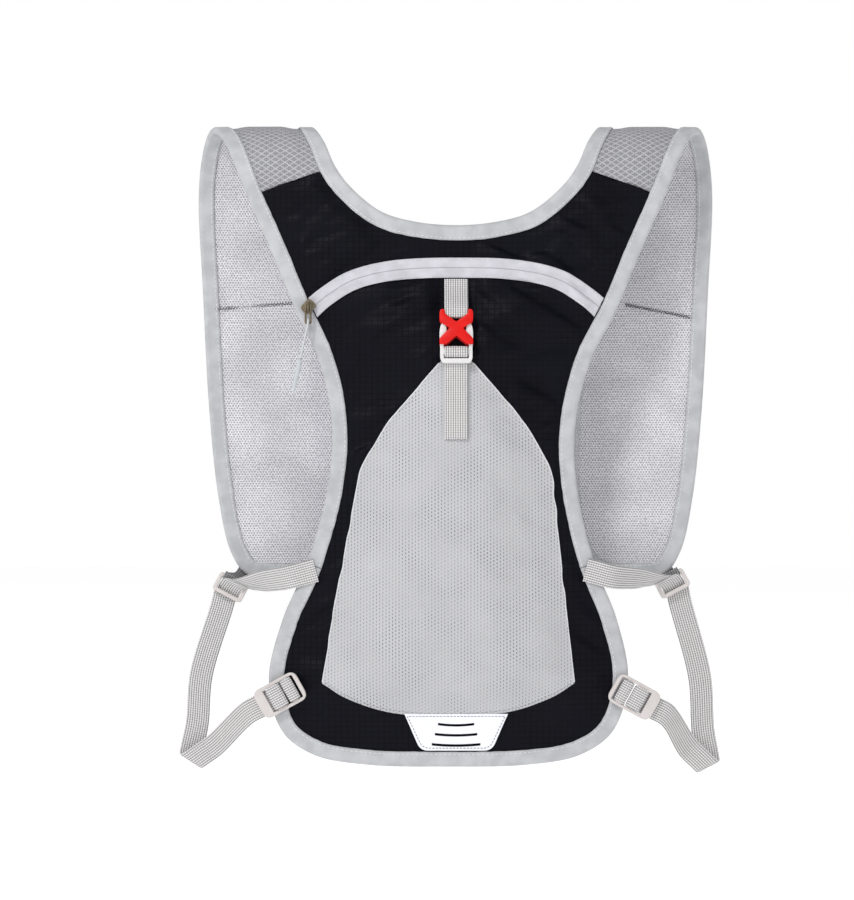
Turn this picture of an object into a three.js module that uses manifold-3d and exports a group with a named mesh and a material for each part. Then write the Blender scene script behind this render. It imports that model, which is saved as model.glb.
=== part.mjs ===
// Running backpack of vest form, hung up by its shoulders and seen from the pack side.
// Millimetres, +Z up, +X to the right of somebody who looks at the pack, who looks along +Y.
// The origin lies under the shoulder arches, half way between them, at the shoulders' top.
//
// The vest is one flat pattern that is laid over a profile. The pattern's x runs across the
// vest and its s runs along the profile: from the hem up the back, over the shoulder and down
// the front. A layer's height n is measured off the pattern, away from the wearer.

import * as THREE from 'three';
import { mergeVertices } from 'three/addons/utils/BufferGeometryUtils.js';
import { TessellateModifier } from 'three/addons/modifiers/TessellateModifier.js';
import Module from 'manifold-3d';

const wasm = await Module();
wasm.setup();

// Vest
const BACK_LENGTH = 409;
const HEM_WIDTH = 230;
const WAIST_WIDTH = 156;
const SHOULDER_WIDTH = 310;
const NECK_WIDTH = 184;
const NECK_DROP = 62.5;
const FRONT_LENGTH = 290;
const CHEST_WIDTH = 335;
const FRONT_OPENING = 142;
const SHOULDER_RADIUS = 27;
const BACK_BOW = 12;
const CHEST_BOW = 14;
const FRONT_TUCK = 14;
const SIDE_CLOSING = 0.25;
const HEM_SWING = 6;

// Cloth
const PAD_EDGE = 1.4;
const PAD_THICKNESS = 4;
const CLOTH = 1;
const LAYER_GAP = 0.4;
const SEAM_GAP = 0.3;
const SHELL_THICKNESS = 2.4;
const LINING_THICKNESS = 2.2;
const PACK_FULLNESS = 12;
const POCKET_FULLNESS = 3;

// Edge binding
const BINDING_WIDTH = 10;
const BINDING_WALL = 0.8;

// Zip
const ZIP_DROP = 90;
const ZIP_SPAN = 200;
const ZIP_FALL = 34;
const TAPE_WIDTH = 13;
const COIL_WIDTH = 2.8;
const COIL_HEIGHT = 1.9;
const MOUTH_WIDTH = 5;
const SLIDER_LENGTH = 9;
const SLIDER_WIDTH = 7;
const SLIDER_HEIGHT = 2.6;
const TAB_LENGTH = 13;
const TAB_WIDTH = 4.4;
const TAB_WIRE = 1.2;
const CORD_DIAMETER = 1.5;
const CORD_DROP = 23;
const CORD_END_LENGTH = 22;
const CORD_END_DIAMETER = 3.4;

// Pocket
const POCKET_TOP = 150;
const POCKET_BEND = 218;
const POCKET_SIDE_DROP = 355;
const POCKET_DROP = 374;
const POCKET_BEND_WIDTH = 122;
const POCKET_BASE_WIDTH = 160;

// Reflective patch
const PATCH_TOP_WIDTH = 66;
const PATCH_BOTTOM_WIDTH = 46;
const PATCH_HEIGHT = 24;
const PATCH_CORNER = 5;
const SLOT_COUNT = 3;
const SLOT_WIDTH = 1.6;
const SLOT_LENGTH = 23;
const SLOT_PITCH = 6.6;
const SLOT_LENGTHENING = 4;

// Webbing and its hardware
const WEBBING_WIDTH = 15;
const WEBBING_THICKNESS = 1.2;
const WEBBING_GAP = 0.4;
const BUCKLE_DROP = 135;
const BUCKLE_LENGTH = 34.4;
const BUCKLE_WIDTH = 21;
const BUCKLE_THICKNESS = 7;
const SOCKET_LENGTH = 22.4;
const SOCKET_WALL = 1.6;
const SOCKET_ARM = 4.6;
const SOCKET_POST = 1.7;
const SOCKET_BAR = 2.4;
const PLUG_THICKNESS = 3;
const PLUG_WIDTH = 20.2;
const PLUG_FOOT = 3;
const PLUG_SLOT = 2.6;
const PLUG_BAR = 3.4;
const PLUG_BRIDGE = 2.4;
const EAR_WIDTH = 2.2;
const LOWER_WEBBING_END = 200;
const TIE_DROP = 0.682;
const STRAP_FALL = 15;
const RING_WIRE = 2.6;
const RING_LENGTH = 13;
const RING_TURN = 28;
const LOCK_LENGTH = 31;
const LOCK_WIDTH = 20;
const LOCK_THICKNESS = 2.6;
const LOCK_RIM = 2.1;
const LOCK_TURN = 29;
const LOCK_BARS = [
  { from: 0, to: 0.106 },
  { from: 0.171, to: 0.22 },
  { from: 0.33, to: 0.53 },
  { from: 0.677, to: 0.8 },
  { from: 0.913, to: 1 },
];
const FOLD_RADIUS = 4;
const RUN_BOW = 4;
const FOLD_COLUMNS = 2;
const SIDES = [
  {
    side: -1, name: 'left', ringReach: 146, ringDrop: 295.5,
    foldReach: 171.5, foldDrop: 402.5, lockReach: 112, lockDrop: 362.6,
  },
  {
    side: 1, name: 'right', ringReach: 140.5, ringDrop: 293,
    foldReach: 163.5, foldDrop: 406.5, lockReach: 113.3, lockDrop: 363.8,
  },
];

const INSET = BINDING_WALL + BINDING_WIDTH * 0.3;
const CLOTH_TOP = LAYER_GAP + CLOTH;
const BINDING_SLOT = CLOTH_TOP + LAYER_GAP;
const BINDING_TOP = BINDING_SLOT + BINDING_WALL;
const TRIM_BASE = CLOTH_TOP + 0.6;
const TRIM_TOP = TRIM_BASE + CLOTH;

const smooth = (v) => THREE.MathUtils.smoothstep(v, 0, 1);
const spread = (from, to, steps) =>
  Array.from({ length: steps + 1 }, (_, i) => from + ((to - from) * i) / steps);

// Profile in the y-z plane
const profileCurve = new THREE.CurvePath();
profileCurve.add(new THREE.CubicBezierCurve(
  new THREE.Vector2(0, -BACK_LENGTH),
  new THREE.Vector2(-BACK_BOW, -BACK_LENGTH * 0.7),
  new THREE.Vector2(0, -BACK_LENGTH * 0.35),
  new THREE.Vector2(0, -SHOULDER_RADIUS),
));
profileCurve.add(new THREE.EllipseCurve(
  SHOULDER_RADIUS, -SHOULDER_RADIUS, SHOULDER_RADIUS, SHOULDER_RADIUS, Math.PI, 0, true,
));
profileCurve.add(new THREE.CubicBezierCurve(
  new THREE.Vector2(2 * SHOULDER_RADIUS, -SHOULDER_RADIUS),
  new THREE.Vector2(2 * SHOULDER_RADIUS, -FRONT_LENGTH * 0.3),
  new THREE.Vector2(2 * SHOULDER_RADIUS + CHEST_BOW, -FRONT_LENGTH * 0.6),
  new THREE.Vector2(2 * SHOULDER_RADIUS - FRONT_TUCK, -FRONT_LENGTH),
));
const PROFILE_LENGTH = profileCurve.getLength();
const PROFILE_STEPS = 900;
const profilePoints = spread(0, 1, PROFILE_STEPS).map((t) => profileCurve.getPoint(t));
const profileStep = PROFILE_LENGTH / PROFILE_STEPS;
const backArc = profileCurve.curves[0].getLength();
const SHOULDER_S = backArc + (Math.PI * SHOULDER_RADIUS) / 2;
const ROLL_END = backArc + Math.PI * SHOULDER_RADIUS;

// Point of the profile at s, carried on straight past its two ends
function profileAt(s) {
  const place = s / profileStep;
  const i = THREE.MathUtils.clamp(Math.floor(place), 0, PROFILE_STEPS - 1);
  return profilePoints[i].clone().lerp(profilePoints[i + 1], place - i);
}

// The s at which a leg of the profile lies so far below the shoulders' top
function sAtDrop(leg, drop) {
  let low = leg === 'back' ? 0 : SHOULDER_S;
  let high = leg === 'back' ? SHOULDER_S : PROFILE_LENGTH;
  for (let i = 0; i < 40; i += 1) {
    const middle = (low + high) / 2;
    const rising = leg === 'back' ? -profileAt(middle).y > drop : -profileAt(middle).y < drop;
    if (rising) low = middle;
    else high = middle;
  }
  return (low + high) / 2;
}

// Pattern to space: towards the sides the back and the front come nearer to each other
function onBase(x, s) {
  const p = profileAt(s);
  const closing = 1 - SIDE_CLOSING * (x / (SHOULDER_WIDTH / 2)) ** 2;
  return new THREE.Vector3(x, (p.x - SHOULDER_RADIUS) * closing, p.y);
}

function axesAt(x, s) {
  const across = onBase(x + 1, s).sub(onBase(x - 1, s)).normalize();
  const along = onBase(x, s + 1).sub(onBase(x, s - 1)).normalize();
  const normal = across.clone().cross(along).normalize();
  return { across, along: normal.clone().cross(across), normal };
}

function laid(x, s, n) {
  return onBase(x, s).addScaledVector(axesAt(x, s).normal, n);
}

// Right half of the vest's outline, from the hem's middle round to the neck's middle.
// across is a share of half the width in of, down a share of the length in deep.
const OUTLINE = [
  { leg: 'back', of: HEM_WIDTH, across: 0, deep: BACK_LENGTH, down: 1 },
  { leg: 'back', of: HEM_WIDTH, across: 0.45, deep: BACK_LENGTH, down: 0.997 },
  { leg: 'back', of: HEM_WIDTH, across: 0.74, deep: BACK_LENGTH, down: 0.982 },
  { leg: 'back', of: HEM_WIDTH, across: 0.92, deep: BACK_LENGTH, down: 0.945, mark: 'corner' },
  { leg: 'back', of: HEM_WIDTH, across: 1, deep: BACK_LENGTH, down: 0.865 },
  { leg: 'back', of: HEM_WIDTH, across: 0.93, deep: BACK_LENGTH, down: 0.77 },
  { leg: 'back', of: WAIST_WIDTH, across: 1.18, deep: BACK_LENGTH, down: TIE_DROP, mark: 'tie' },
  { leg: 'back', of: WAIST_WIDTH, across: 1.02, deep: BACK_LENGTH, down: 0.56 },
  { leg: 'back', of: WAIST_WIDTH, across: 1, deep: BACK_LENGTH, down: 0.465 },
  { leg: 'back', of: WAIST_WIDTH, across: 1.11, deep: BACK_LENGTH, down: 0.368 },
  { leg: 'back', of: SHOULDER_WIDTH, across: 0.667, deep: BACK_LENGTH, down: 0.282, mark: 'zip' },
  { leg: 'back', of: SHOULDER_WIDTH, across: 0.768, deep: BACK_LENGTH, down: 0.19 },
  { leg: 'back', of: SHOULDER_WIDTH, across: 0.862, deep: BACK_LENGTH, down: 0.109, mark: 'seam' },
  { leg: 'back', of: SHOULDER_WIDTH, across: 0.942, deep: BACK_LENGTH, down: 0.034 },
  { leg: 'back', of: SHOULDER_WIDTH, across: 1.016, deep: BACK_LENGTH, down: 0 },
  { leg: 'front', of: CHEST_WIDTH, across: 0.985, deep: FRONT_LENGTH, down: 0.05 },
  { leg: 'front', of: CHEST_WIDTH, across: 1, deep: FRONT_LENGTH, down: 0.14 },
  { leg: 'front', of: CHEST_WIDTH, across: 0.985, deep: FRONT_LENGTH, down: 0.35 },
  { leg: 'front', of: CHEST_WIDTH, across: 0.96, deep: FRONT_LENGTH, down: 0.62 },
  { leg: 'front', of: CHEST_WIDTH, across: 0.922, deep: FRONT_LENGTH, down: 0.82 },
  { leg: 'front', of: CHEST_WIDTH, across: 0.873, deep: FRONT_LENGTH, down: 0.94 },
  { leg: 'front', of: CHEST_WIDTH, across: 0.81, deep: FRONT_LENGTH, down: 0.991, mark: 'tip' },
  { leg: 'front', of: CHEST_WIDTH, across: 0.72, deep: FRONT_LENGTH, down: 1 },
  { leg: 'front', of: FRONT_OPENING, across: 1.29, deep: FRONT_LENGTH, down: 0.99 },
  { leg: 'front', of: FRONT_OPENING, across: 1.11, deep: FRONT_LENGTH, down: 0.94, mark: 'foot' },
  { leg: 'front', of: FRONT_OPENING, across: 1, deep: FRONT_LENGTH, down: 0.8 },
  { leg: 'front', of: FRONT_OPENING, across: 1.02, deep: FRONT_LENGTH, down: 0.6 },
  { leg: 'front', of: NECK_WIDTH, across: 0.89, deep: FRONT_LENGTH, down: 0.35 },
  { leg: 'front', of: NECK_WIDTH, across: 0.975, deep: FRONT_LENGTH, down: 0.14 },
  { leg: 'back', of: NECK_WIDTH, across: 0.998, deep: BACK_LENGTH, down: 0 },
  { leg: 'back', of: NECK_WIDTH, across: 0.9, deep: NECK_DROP, down: 0.2 },
  { leg: 'back', of: NECK_WIDTH, across: 0.845, deep: NECK_DROP, down: 0.384, mark: 'neck seam' },
  { leg: 'back', of: NECK_WIDTH, across: 0.745, deep: NECK_DROP, down: 0.59 },
  { leg: 'back', of: NECK_WIDTH, across: 0.52, deep: NECK_DROP, down: 0.86 },
  { leg: 'back', of: NECK_WIDTH, across: 0.28, deep: NECK_DROP, down: 0.965 },
  { leg: 'back', of: NECK_WIDTH, across: 0, deep: NECK_DROP, down: 1 },
];
const SWING_START = 0.27;

// How far the pack leans to the left at a drop
const swingAt = (drop) =>
  (HEM_SWING * Math.max(0, drop / BACK_LENGTH - SWING_START)) / (1 - SWING_START);

function outlinePoint(row, side) {
  const drop = row.deep * row.down;
  const x = (side * row.across * row.of) / 2 - (row.leg === 'back' ? swingAt(drop) : 0);
  return new THREE.Vector3(x, sAtDrop(row.leg, drop), 0);
}

// A line in the pattern through close points, read by its share of length
class Path {
  constructor(points) {
    this.points = points;
    this.lengths = [0];
    for (let i = 1; i < points.length; i += 1) {
      this.lengths.push(this.lengths[i - 1] + points[i].distanceTo(points[i - 1]));
    }
    this.length = this.lengths[points.length - 1];
  }

  at(share) {
    const wanted = THREE.MathUtils.clamp(share, 0, 1) * this.length;
    let i = 1;
    while (i < this.points.length - 1 && this.lengths[i] < wanted) i += 1;
    const step = this.lengths[i] - this.lengths[i - 1];
    const t = (wanted - this.lengths[i - 1]) / step;
    return this.points[i - 1].clone().lerp(this.points[i], t);
  }

  slice(from, to, steps = 40) {
    return new Path(spread(from, to, steps).map((t) => this.at(t)));
  }

  reversed() {
    return new Path([...this.points].reverse());
  }

  // The same line moved to the left of its own direction
  offset(distance) {
    return new Path(this.points.map((p, i) => {
      const before = this.points[Math.max(0, i - 1)];
      const after = this.points[Math.min(this.points.length - 1, i + 1)];
      const d = after.clone().sub(before).normalize();
      return new THREE.Vector2(p.x - d.y * distance, p.y + d.x * distance);
    }));
  }

  distance(x, s) {
    let best = Infinity;
    for (let i = 1; i < this.points.length; i += 1) {
      const a = this.points[i - 1];
      const b = this.points[i];
      const ex = b.x - a.x;
      const ey = b.y - a.y;
      const t = ((x - a.x) * ex + (s - a.y) * ey) / (ex * ex + ey * ey || 1);
      const c = THREE.MathUtils.clamp(t, 0, 1);
      best = Math.min(best, Math.hypot(x - a.x - ex * c, s - a.y - ey * c));
    }
    return best;
  }
}

// The whole outline as one closed line of close points, run with the vest on its left
const RING_SUB = 12;
const ringKnots = [
  ...OUTLINE.map((row) => outlinePoint(row, 1)),
  ...OUTLINE.slice(1, -1).reverse().map((row) => outlinePoint(row, -1)),
];
const ringCurve = new THREE.CatmullRomCurve3(ringKnots, true, 'centripetal');
const RING_COUNT = ringKnots.length * RING_SUB;
const ring = spread(0, 1, RING_COUNT).slice(0, -1).map((t) => {
  const p = ringCurve.getPoint(t);
  return new THREE.Vector2(p.x, p.y);
});
const ringPoint = (i) => ring[((i % RING_COUNT) + RING_COUNT) % RING_COUNT];

function ringInward(i) {
  const d = ringPoint(i + 1).clone().sub(ringPoint(i - 1)).normalize();
  return new THREE.Vector2(-d.y, d.x);
}

const markIndex = (mark, side) => {
  const knot = mark === 'hem' ? 0 : OUTLINE.findIndex((row) => row.mark === mark);
  const index = mark === 'neck' ? OUTLINE.length - 1 : knot;
  return side * index * RING_SUB;
};

// Stretch of the outline between two marks of one side, drawn in by inset
function edge(side, from, to, inset) {
  const start = markIndex(from, side);
  const end = markIndex(to, side);
  const step = Math.sign(end - start);
  const points = [];
  for (let i = start; i !== end + step; i += step) {
    points.push(ringPoint(i).clone().addScaledVector(ringInward(i), inset));
  }
  return new Path(points);
}

const vestEdge = new Path([...ring.filter((_, i) => i % 3 === 0), ring[0]]);

// Line of the zip across the back, left to right
const ZIP_LINE = [
  { across: 1, fall: 1 },
  { across: 0.92, fall: 0.76 },
  { across: 0.81, fall: 0.5 },
  { across: 0.66, fall: 0.24 },
  { across: 0.42, fall: 0.06 },
];
const zipKnots = [
  ...ZIP_LINE.map((row) => ({ x: -row.across, fall: row.fall })),
  { x: 0, fall: 0 },
  ...[...ZIP_LINE].reverse().map((row) => ({ x: row.across, fall: row.fall })),
].map((row) => new THREE.Vector2(
  (row.x * ZIP_SPAN) / 2,
  sAtDrop('back', ZIP_DROP + ZIP_FALL * row.fall),
));
const zipWhole = new Path(new THREE.SplineCurve(zipKnots).getSpacedPoints(160));

// Where the vest's edge lies on one side of the back at s
const backEdges = { left: edge(-1, 'hem', 'seam', 0), right: edge(1, 'hem', 'seam', 0) };
function backEdgeX(side, s) {
  const { points } = side < 0 ? backEdges.left : backEdges.right;
  const i = points.findIndex((p) => p.y >= s);
  return points[Math.max(i, 0)].x;
}

// The zip's line moved by shift and cut where it comes so far from the vest's edge
const CUT_STEP = 0.001;
function zipLine(clear, shift = 0) {
  const line = zipWhole.offset(shift);
  const isClear = (share) => {
    const p = line.at(share);
    const inside = Math.abs(p.x) < Math.abs(backEdgeX(Math.sign(p.x), p.y));
    return inside && vestEdge.distance(p.x, p.y) >= clear;
  };
  let [from, to] = [0, 1];
  while (!isClear(from)) from += CUT_STEP;
  while (!isClear(to)) to -= CUT_STEP;
  return line.slice(from, to, 80);
}

// Height of the pack's outer cloth over the pattern: nothing along the edges and over the
// zip, full in the middle of the compartment
const ZIP_S = sAtDrop('back', ZIP_DROP);
const FULLNESS_EDGE = BINDING_WIDTH + 4;
const FULLNESS_RUN = 60;
const YOKE_FADE = 18;
function fullness(x, s) {
  const rim = smooth((vestEdge.distance(x, s) - FULLNESS_EDGE) / FULLNESS_RUN);
  const fade = smooth((ZIP_S + YOKE_FADE - s) / (YOKE_FADE * 4));
  return PACK_FULLNESS * rim * fade;
}

// Coons patch: four border lines blended. us and vs are the shares of its columns and rows.
function patch({ bottom, top, left, right, us, vs }) {
  const corners = [bottom.at(0), bottom.at(1), top.at(0), top.at(1)];
  return vs.map((v) => us.map((u) => {
    const p = bottom.at(u).multiplyScalar(1 - v).addScaledVector(top.at(u), v);
    p.addScaledVector(left.at(v), 1 - u).addScaledVector(right.at(v), u);
    p.addScaledVector(corners[0], -(1 - u) * (1 - v)).addScaledVector(corners[1], -u * (1 - v));
    return p.addScaledVector(corners[2], -(1 - u) * v).addScaledVector(corners[3], -u * v);
  }));
}

const straight = (a, b) => new Path([a, b]);

// Closed body from a list of faces, each with three points in space
function bodyFrom(triangles) {
  const geometry = new THREE.BufferGeometry().setFromPoints(triangles.flat());
  const body = mergeVertices(geometry, 1e-3);
  const index = [];
  for (let i = 0; i < body.index.count; i += 3) {
    const corner = [0, 1, 2].map((k) => body.index.getX(i + k));
    if (new Set(corner).size === 3) index.push(...corner);
  }
  body.setIndex(index);
  body.computeVertexNormals();
  return body;
}

// Cloth cut to patches of the pattern, between the heights low and high
function sheet(grids, low, high) {
  const faces = [];
  const borders = new Map();
  const key = (p) => `${p.x.toFixed(3)},${p.y.toFixed(3)}`;
  const addFace = (a, b, c) => {
    if (new Set([key(a), key(b), key(c)]).size < 3) return;
    faces.push([a, b, c]);
    [[a, b], [b, c], [c, a]].forEach(([from, to]) => {
      const back = `${key(to)}|${key(from)}`;
      if (borders.has(back)) borders.delete(back);
      else borders.set(`${key(from)}|${key(to)}`, [from, to]);
    });
  };
  grids.forEach((grid) => grid.slice(1).forEach((row, j) => row.slice(1).forEach((p, i) => {
    const [a, b, c, d] = [grid[j][i], grid[j][i + 1], row[i], p];
    const wide = a.distanceTo(d) > b.distanceTo(c);
    addFace(a, b, wide ? c : d);
    if (wide) addFace(b, d, c);
    else addFace(a, d, c);
  })));
  const places = new Map();
  const place = (p, level, height) => {
    const name = `${key(p)}${level}`;
    if (!places.has(name)) places.set(name, laid(p.x, p.y, height(p.x, p.y)));
    return places.get(name);
  };
  const top = (p) => place(p, 'top', high);
  const under = (p) => place(p, 'under', low);
  const triangles = [];
  faces.forEach(([a, b, c]) => {
    triangles.push([top(a), top(b), top(c)], [under(a), under(c), under(b)]);
  });
  borders.forEach(([a, b]) => {
    triangles.push([under(a), under(b), top(b)], [under(a), top(b), top(a)]);
  });
  return bodyFrom(triangles);
}

// Closed body between two grids of points in space, top seen from above with rows upwards
function shellBody(topGrid, underGrid) {
  const rows = topGrid.length;
  const columns = topGrid[0].length;
  const triangles = [];
  const quad = (a, b, c, d) => triangles.push([a, b, c], [a, c, d]);
  for (let j = 0; j < rows - 1; j += 1) {
    for (let i = 0; i < columns - 1; i += 1) {
      quad(topGrid[j][i], topGrid[j][i + 1], topGrid[j + 1][i + 1], topGrid[j + 1][i]);
      quad(underGrid[j][i], underGrid[j + 1][i], underGrid[j + 1][i + 1], underGrid[j][i + 1]);
    }
    const last = columns - 1;
    quad(underGrid[j][0], topGrid[j][0], topGrid[j + 1][0], underGrid[j + 1][0]);
    quad(topGrid[j][last], underGrid[j][last], underGrid[j + 1][last], topGrid[j + 1][last]);
  }
  for (let i = 0; i < columns - 1; i += 1) {
    const end = rows - 1;
    quad(underGrid[0][i], underGrid[0][i + 1], topGrid[0][i + 1], topGrid[0][i]);
    quad(topGrid[end][i], topGrid[end][i + 1], underGrid[end][i + 1], underGrid[end][i]);
  }
  return bodyFrom(triangles);
}

// Webbing from its cross lines, each a row of points from its one edge to the other
function webbing(lines) {
  const rows = lines.length;
  const last = lines[0].length - 1;
  const offsetGrid = (distance) => lines.map((line, j) => line.map((p, i) => {
    const along = lines[Math.min(rows - 1, j + 1)][i].clone().sub(lines[Math.max(0, j - 1)][i]);
    const across = line[Math.min(last, i + 1)].clone().sub(line[Math.max(0, i - 1)]);
    const normal = across.cross(along).normalize();
    return p.clone().addScaledVector(normal, distance);
  }));
  return shellBody(offsetGrid(WEBBING_THICKNESS / 2), offsetGrid(-WEBBING_THICKNESS / 2));
}

// Straight cross line of webbing about a middle point
function crossLine(middle, across, columns) {
  return spread(-WEBBING_WIDTH / 2, WEBBING_WIDTH / 2, columns)
    .map((w) => middle.clone().addScaledVector(across, w));
}

const root = new THREE.Group();
function add(name, geometry, color, roughness, metalness = 0) {
  const material = new THREE.MeshStandardMaterial({ color, roughness, metalness });
  const mesh = new THREE.Mesh(geometry, material);
  mesh.name = name;
  root.add(mesh);
  return mesh;
}

const BLACK_CLOTH = 0x1b1b22;
const MESH_GREY = 0xcbcbce;
const LINING_GREY = 0xc6c4cc;
const BINDING_GREY = 0xc8ced4;
const TAPE_WHITE = 0xd6d3de;
const WEBBING_GREY = 0xbebcb8;
const PLASTIC_WHITE = 0xdcd4d2;
const BUCKLE_RED = 0xeb2019;
const METAL = 0xa89a80;
const REFLECTIVE = 0xeeeef4;
const TAB_GREY = 0x8c8b88;
const CORD_GREY = 0xcfd2d6;

const SEAM_SHIFT = SEAM_GAP / 2;

// Patches of the pack: body below a line across the back, and two lobes up to the shoulders
// The outermost columns and rows keep the cloth thin as far as the binding covers it.
const THIN_EDGE = BINDING_WIDTH + 4;
const halfColumns = [0, 0.12, 0.32, 0.56, 0.78, 1];
const halfReversed = [...halfColumns].reverse().map((u) => 1 - u);
const bodyColumns = [
  ...halfColumns.map((u) => u / 2),
  ...halfReversed.slice(1).map((u) => (1 + u) / 2),
];
const bodyRows = [0, ...spread(0.045, 0.36, 6), ...spread(0.36, 1, 8).slice(1)];
const LOBE_ROWS = 9;
function bodyPatch(shift) {
  const top = zipLine(INSET, shift);
  const rise = (side) => {
    const whole = edge(side, 'corner', 'zip', INSET).points;
    const end = top.at(side < 0 ? 0 : 1);
    return new Path([...whole.filter((p) => p.y < end.y - 1), end]);
  };
  const hemHalf = (side) => edge(side, 'hem', 'corner', INSET);
  const hem = new Path([...hemHalf(-1).reversed().points, ...hemHalf(1).points.slice(1)]);
  return patch({
    bottom: hem,
    top,
    left: rise(-1),
    right: rise(1),
    us: bodyColumns,
    vs: bodyRows,
  });
}

function lobePatch(side, shift) {
  const line = zipLine(INSET, shift);
  const half = { at: (u) => line.at(side < 0 ? u / 2 : (1 + u) / 2) };
  const outerEnd = half.at(side < 0 ? 0 : 1);
  const middle = half.at(side < 0 ? 1 : 0);
  const armhole = edge(side, 'zip', 'seam', INSET).points.filter((p) => p.y > outerEnd.y + 1);
  const outer = trimEnd(new Path([outerEnd, ...armhole]), SEAM_SHIFT);
  const neck = edge(side, 'neck', 'neck seam', INSET);
  const inner = trimEnd(new Path([middle, ...neck.points]), SEAM_SHIFT);
  const seam = side < 0 ? straight(outer.at(1), inner.at(1)) : straight(inner.at(1), outer.at(1));
  return patch({
    bottom: half,
    top: seam,
    left: side < 0 ? outer : inner,
    right: side < 0 ? inner : outer,
    us: side < 0 ? halfColumns : halfReversed,
    vs: spread(0, 1, LOBE_ROWS),
  });
}

function trimEnd(path, distance) {
  return path.slice(0, 1 - distance / path.length, 60);
}

const padUnder = (x, s) => {
  const inner = smooth((vestEdge.distance(x, s) - THIN_EDGE) / 12);
  return -PAD_EDGE - (PAD_THICKNESS - PAD_EDGE) * inner;
};
const clothUnder = (x, s) => LAYER_GAP + fullness(x, s);
const clothOuter = (x, s) => CLOTH_TOP + fullness(x, s);
add('back_panel', sheet(
  [bodyPatch(0), lobePatch(-1, 0), lobePatch(1, 0)],
  padUnder,
  () => 0,
), LINING_GREY, 0.9);
add('yoke', sheet(
  [lobePatch(-1, MOUTH_WIDTH / 2), lobePatch(1, MOUTH_WIDTH / 2)],
  clothUnder,
  clothOuter,
), BLACK_CLOTH, 0.6);
add('lower_panel', sheet([bodyPatch(-MOUTH_WIDTH / 2)], clothUnder, clothOuter), BLACK_CLOTH, 0.6);

// Zip: two tapes over the mouth's cloth edges and the closed coil between them
const ZIP_COLUMNS = 18;
function zipBand(from, to, low, high) {
  const lower = zipLine(BINDING_WIDTH + 2 * SEAM_GAP, from);
  const upper = zipLine(BINDING_WIDTH + 2 * SEAM_GAP, to);
  const grid = patch({
    bottom: lower,
    top: upper,
    left: straight(lower.at(0), upper.at(0)),
    right: straight(lower.at(1), upper.at(1)),
    us: spread(0, 1, ZIP_COLUMNS),
    vs: [0, 1],
  });
  return sheet([grid], (x, s) => low + fullness(x, s), (x, s) => high + fullness(x, s));
}
const tapeInner = COIL_WIDTH / 2 + SEAM_GAP;
add('zip_tape_upper', zipBand(tapeInner, TAPE_WIDTH / 2, TRIM_BASE, TRIM_TOP), TAPE_WHITE, 0.8);
add('zip_tape_lower', zipBand(-TAPE_WIDTH / 2, -tapeInner, TRIM_BASE, TRIM_TOP), TAPE_WHITE, 0.8);
const COIL_TOP = TRIM_BASE + COIL_HEIGHT;
add('zip_coil', zipBand(-COIL_WIDTH / 2, COIL_WIDTH / 2, TRIM_BASE, COIL_TOP), TAPE_WHITE, 0.5);

// Mesh pocket with free slanting edges up to the strap that holds it
const pocketSwing = (drop) => swingAt(drop) * smooth((drop - LOWER_WEBBING_END) / BACK_LENGTH * 4);
const pocketLine = (side) => [
  { half: POCKET_BASE_WIDTH / 2, drop: POCKET_SIDE_DROP },
  { half: POCKET_BASE_WIDTH * 0.47, drop: POCKET_SIDE_DROP * 0.9 },
  { half: POCKET_BASE_WIDTH * 0.425, drop: POCKET_BEND * 1.24 },
  { half: POCKET_BEND_WIDTH / 2, drop: POCKET_BEND },
  { half: (POCKET_BEND_WIDTH * 0.36), drop: POCKET_BEND * 0.87 },
  { half: WEBBING_WIDTH * 0.62, drop: POCKET_TOP },
].map((row) => new THREE.Vector2(side * row.half - pocketSwing(row.drop), sAtDrop('back', row.drop)));
const pocketSide = (side) => new Path(pocketLine(side));
const pocketBase = new Path([
  { x: -1, drop: POCKET_SIDE_DROP },
  { x: -0.8, drop: (POCKET_SIDE_DROP + POCKET_DROP) / 2 },
  { x: -0.42, drop: POCKET_DROP },
  { x: 0.42, drop: POCKET_DROP },
  { x: 0.8, drop: (POCKET_SIDE_DROP + POCKET_DROP) / 2 },
  { x: 1, drop: POCKET_SIDE_DROP },
].map((row) => new THREE.Vector2(
  (row.x * POCKET_BASE_WIDTH) / 2 - pocketSwing(row.drop),
  sAtDrop('back', row.drop),
)));
const pocketRim = new Path([
  ...pocketBase.points,
  ...pocketSide(1).points.slice(1),
  ...pocketSide(-1).reversed().points,
]);
const POCKET_RUN = 22;
const pocketUnder = (x, s) => {
  const inner = smooth(pocketRim.distance(x, s) / POCKET_RUN);
  return TRIM_BASE + POCKET_FULLNESS * inner + fullness(x, s);
};
add('mesh_pocket', sheet([patch({
  bottom: pocketBase,
  top: straight(pocketSide(-1).at(1), pocketSide(1).at(1)),
  left: pocketSide(-1),
  right: pocketSide(1),
  us: spread(0, 1, 8),
  vs: spread(0, 1, 13),
})], pocketUnder, (x, s) => pocketUnder(x, s) + CLOTH), MESH_GREY, 0.85);

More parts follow.
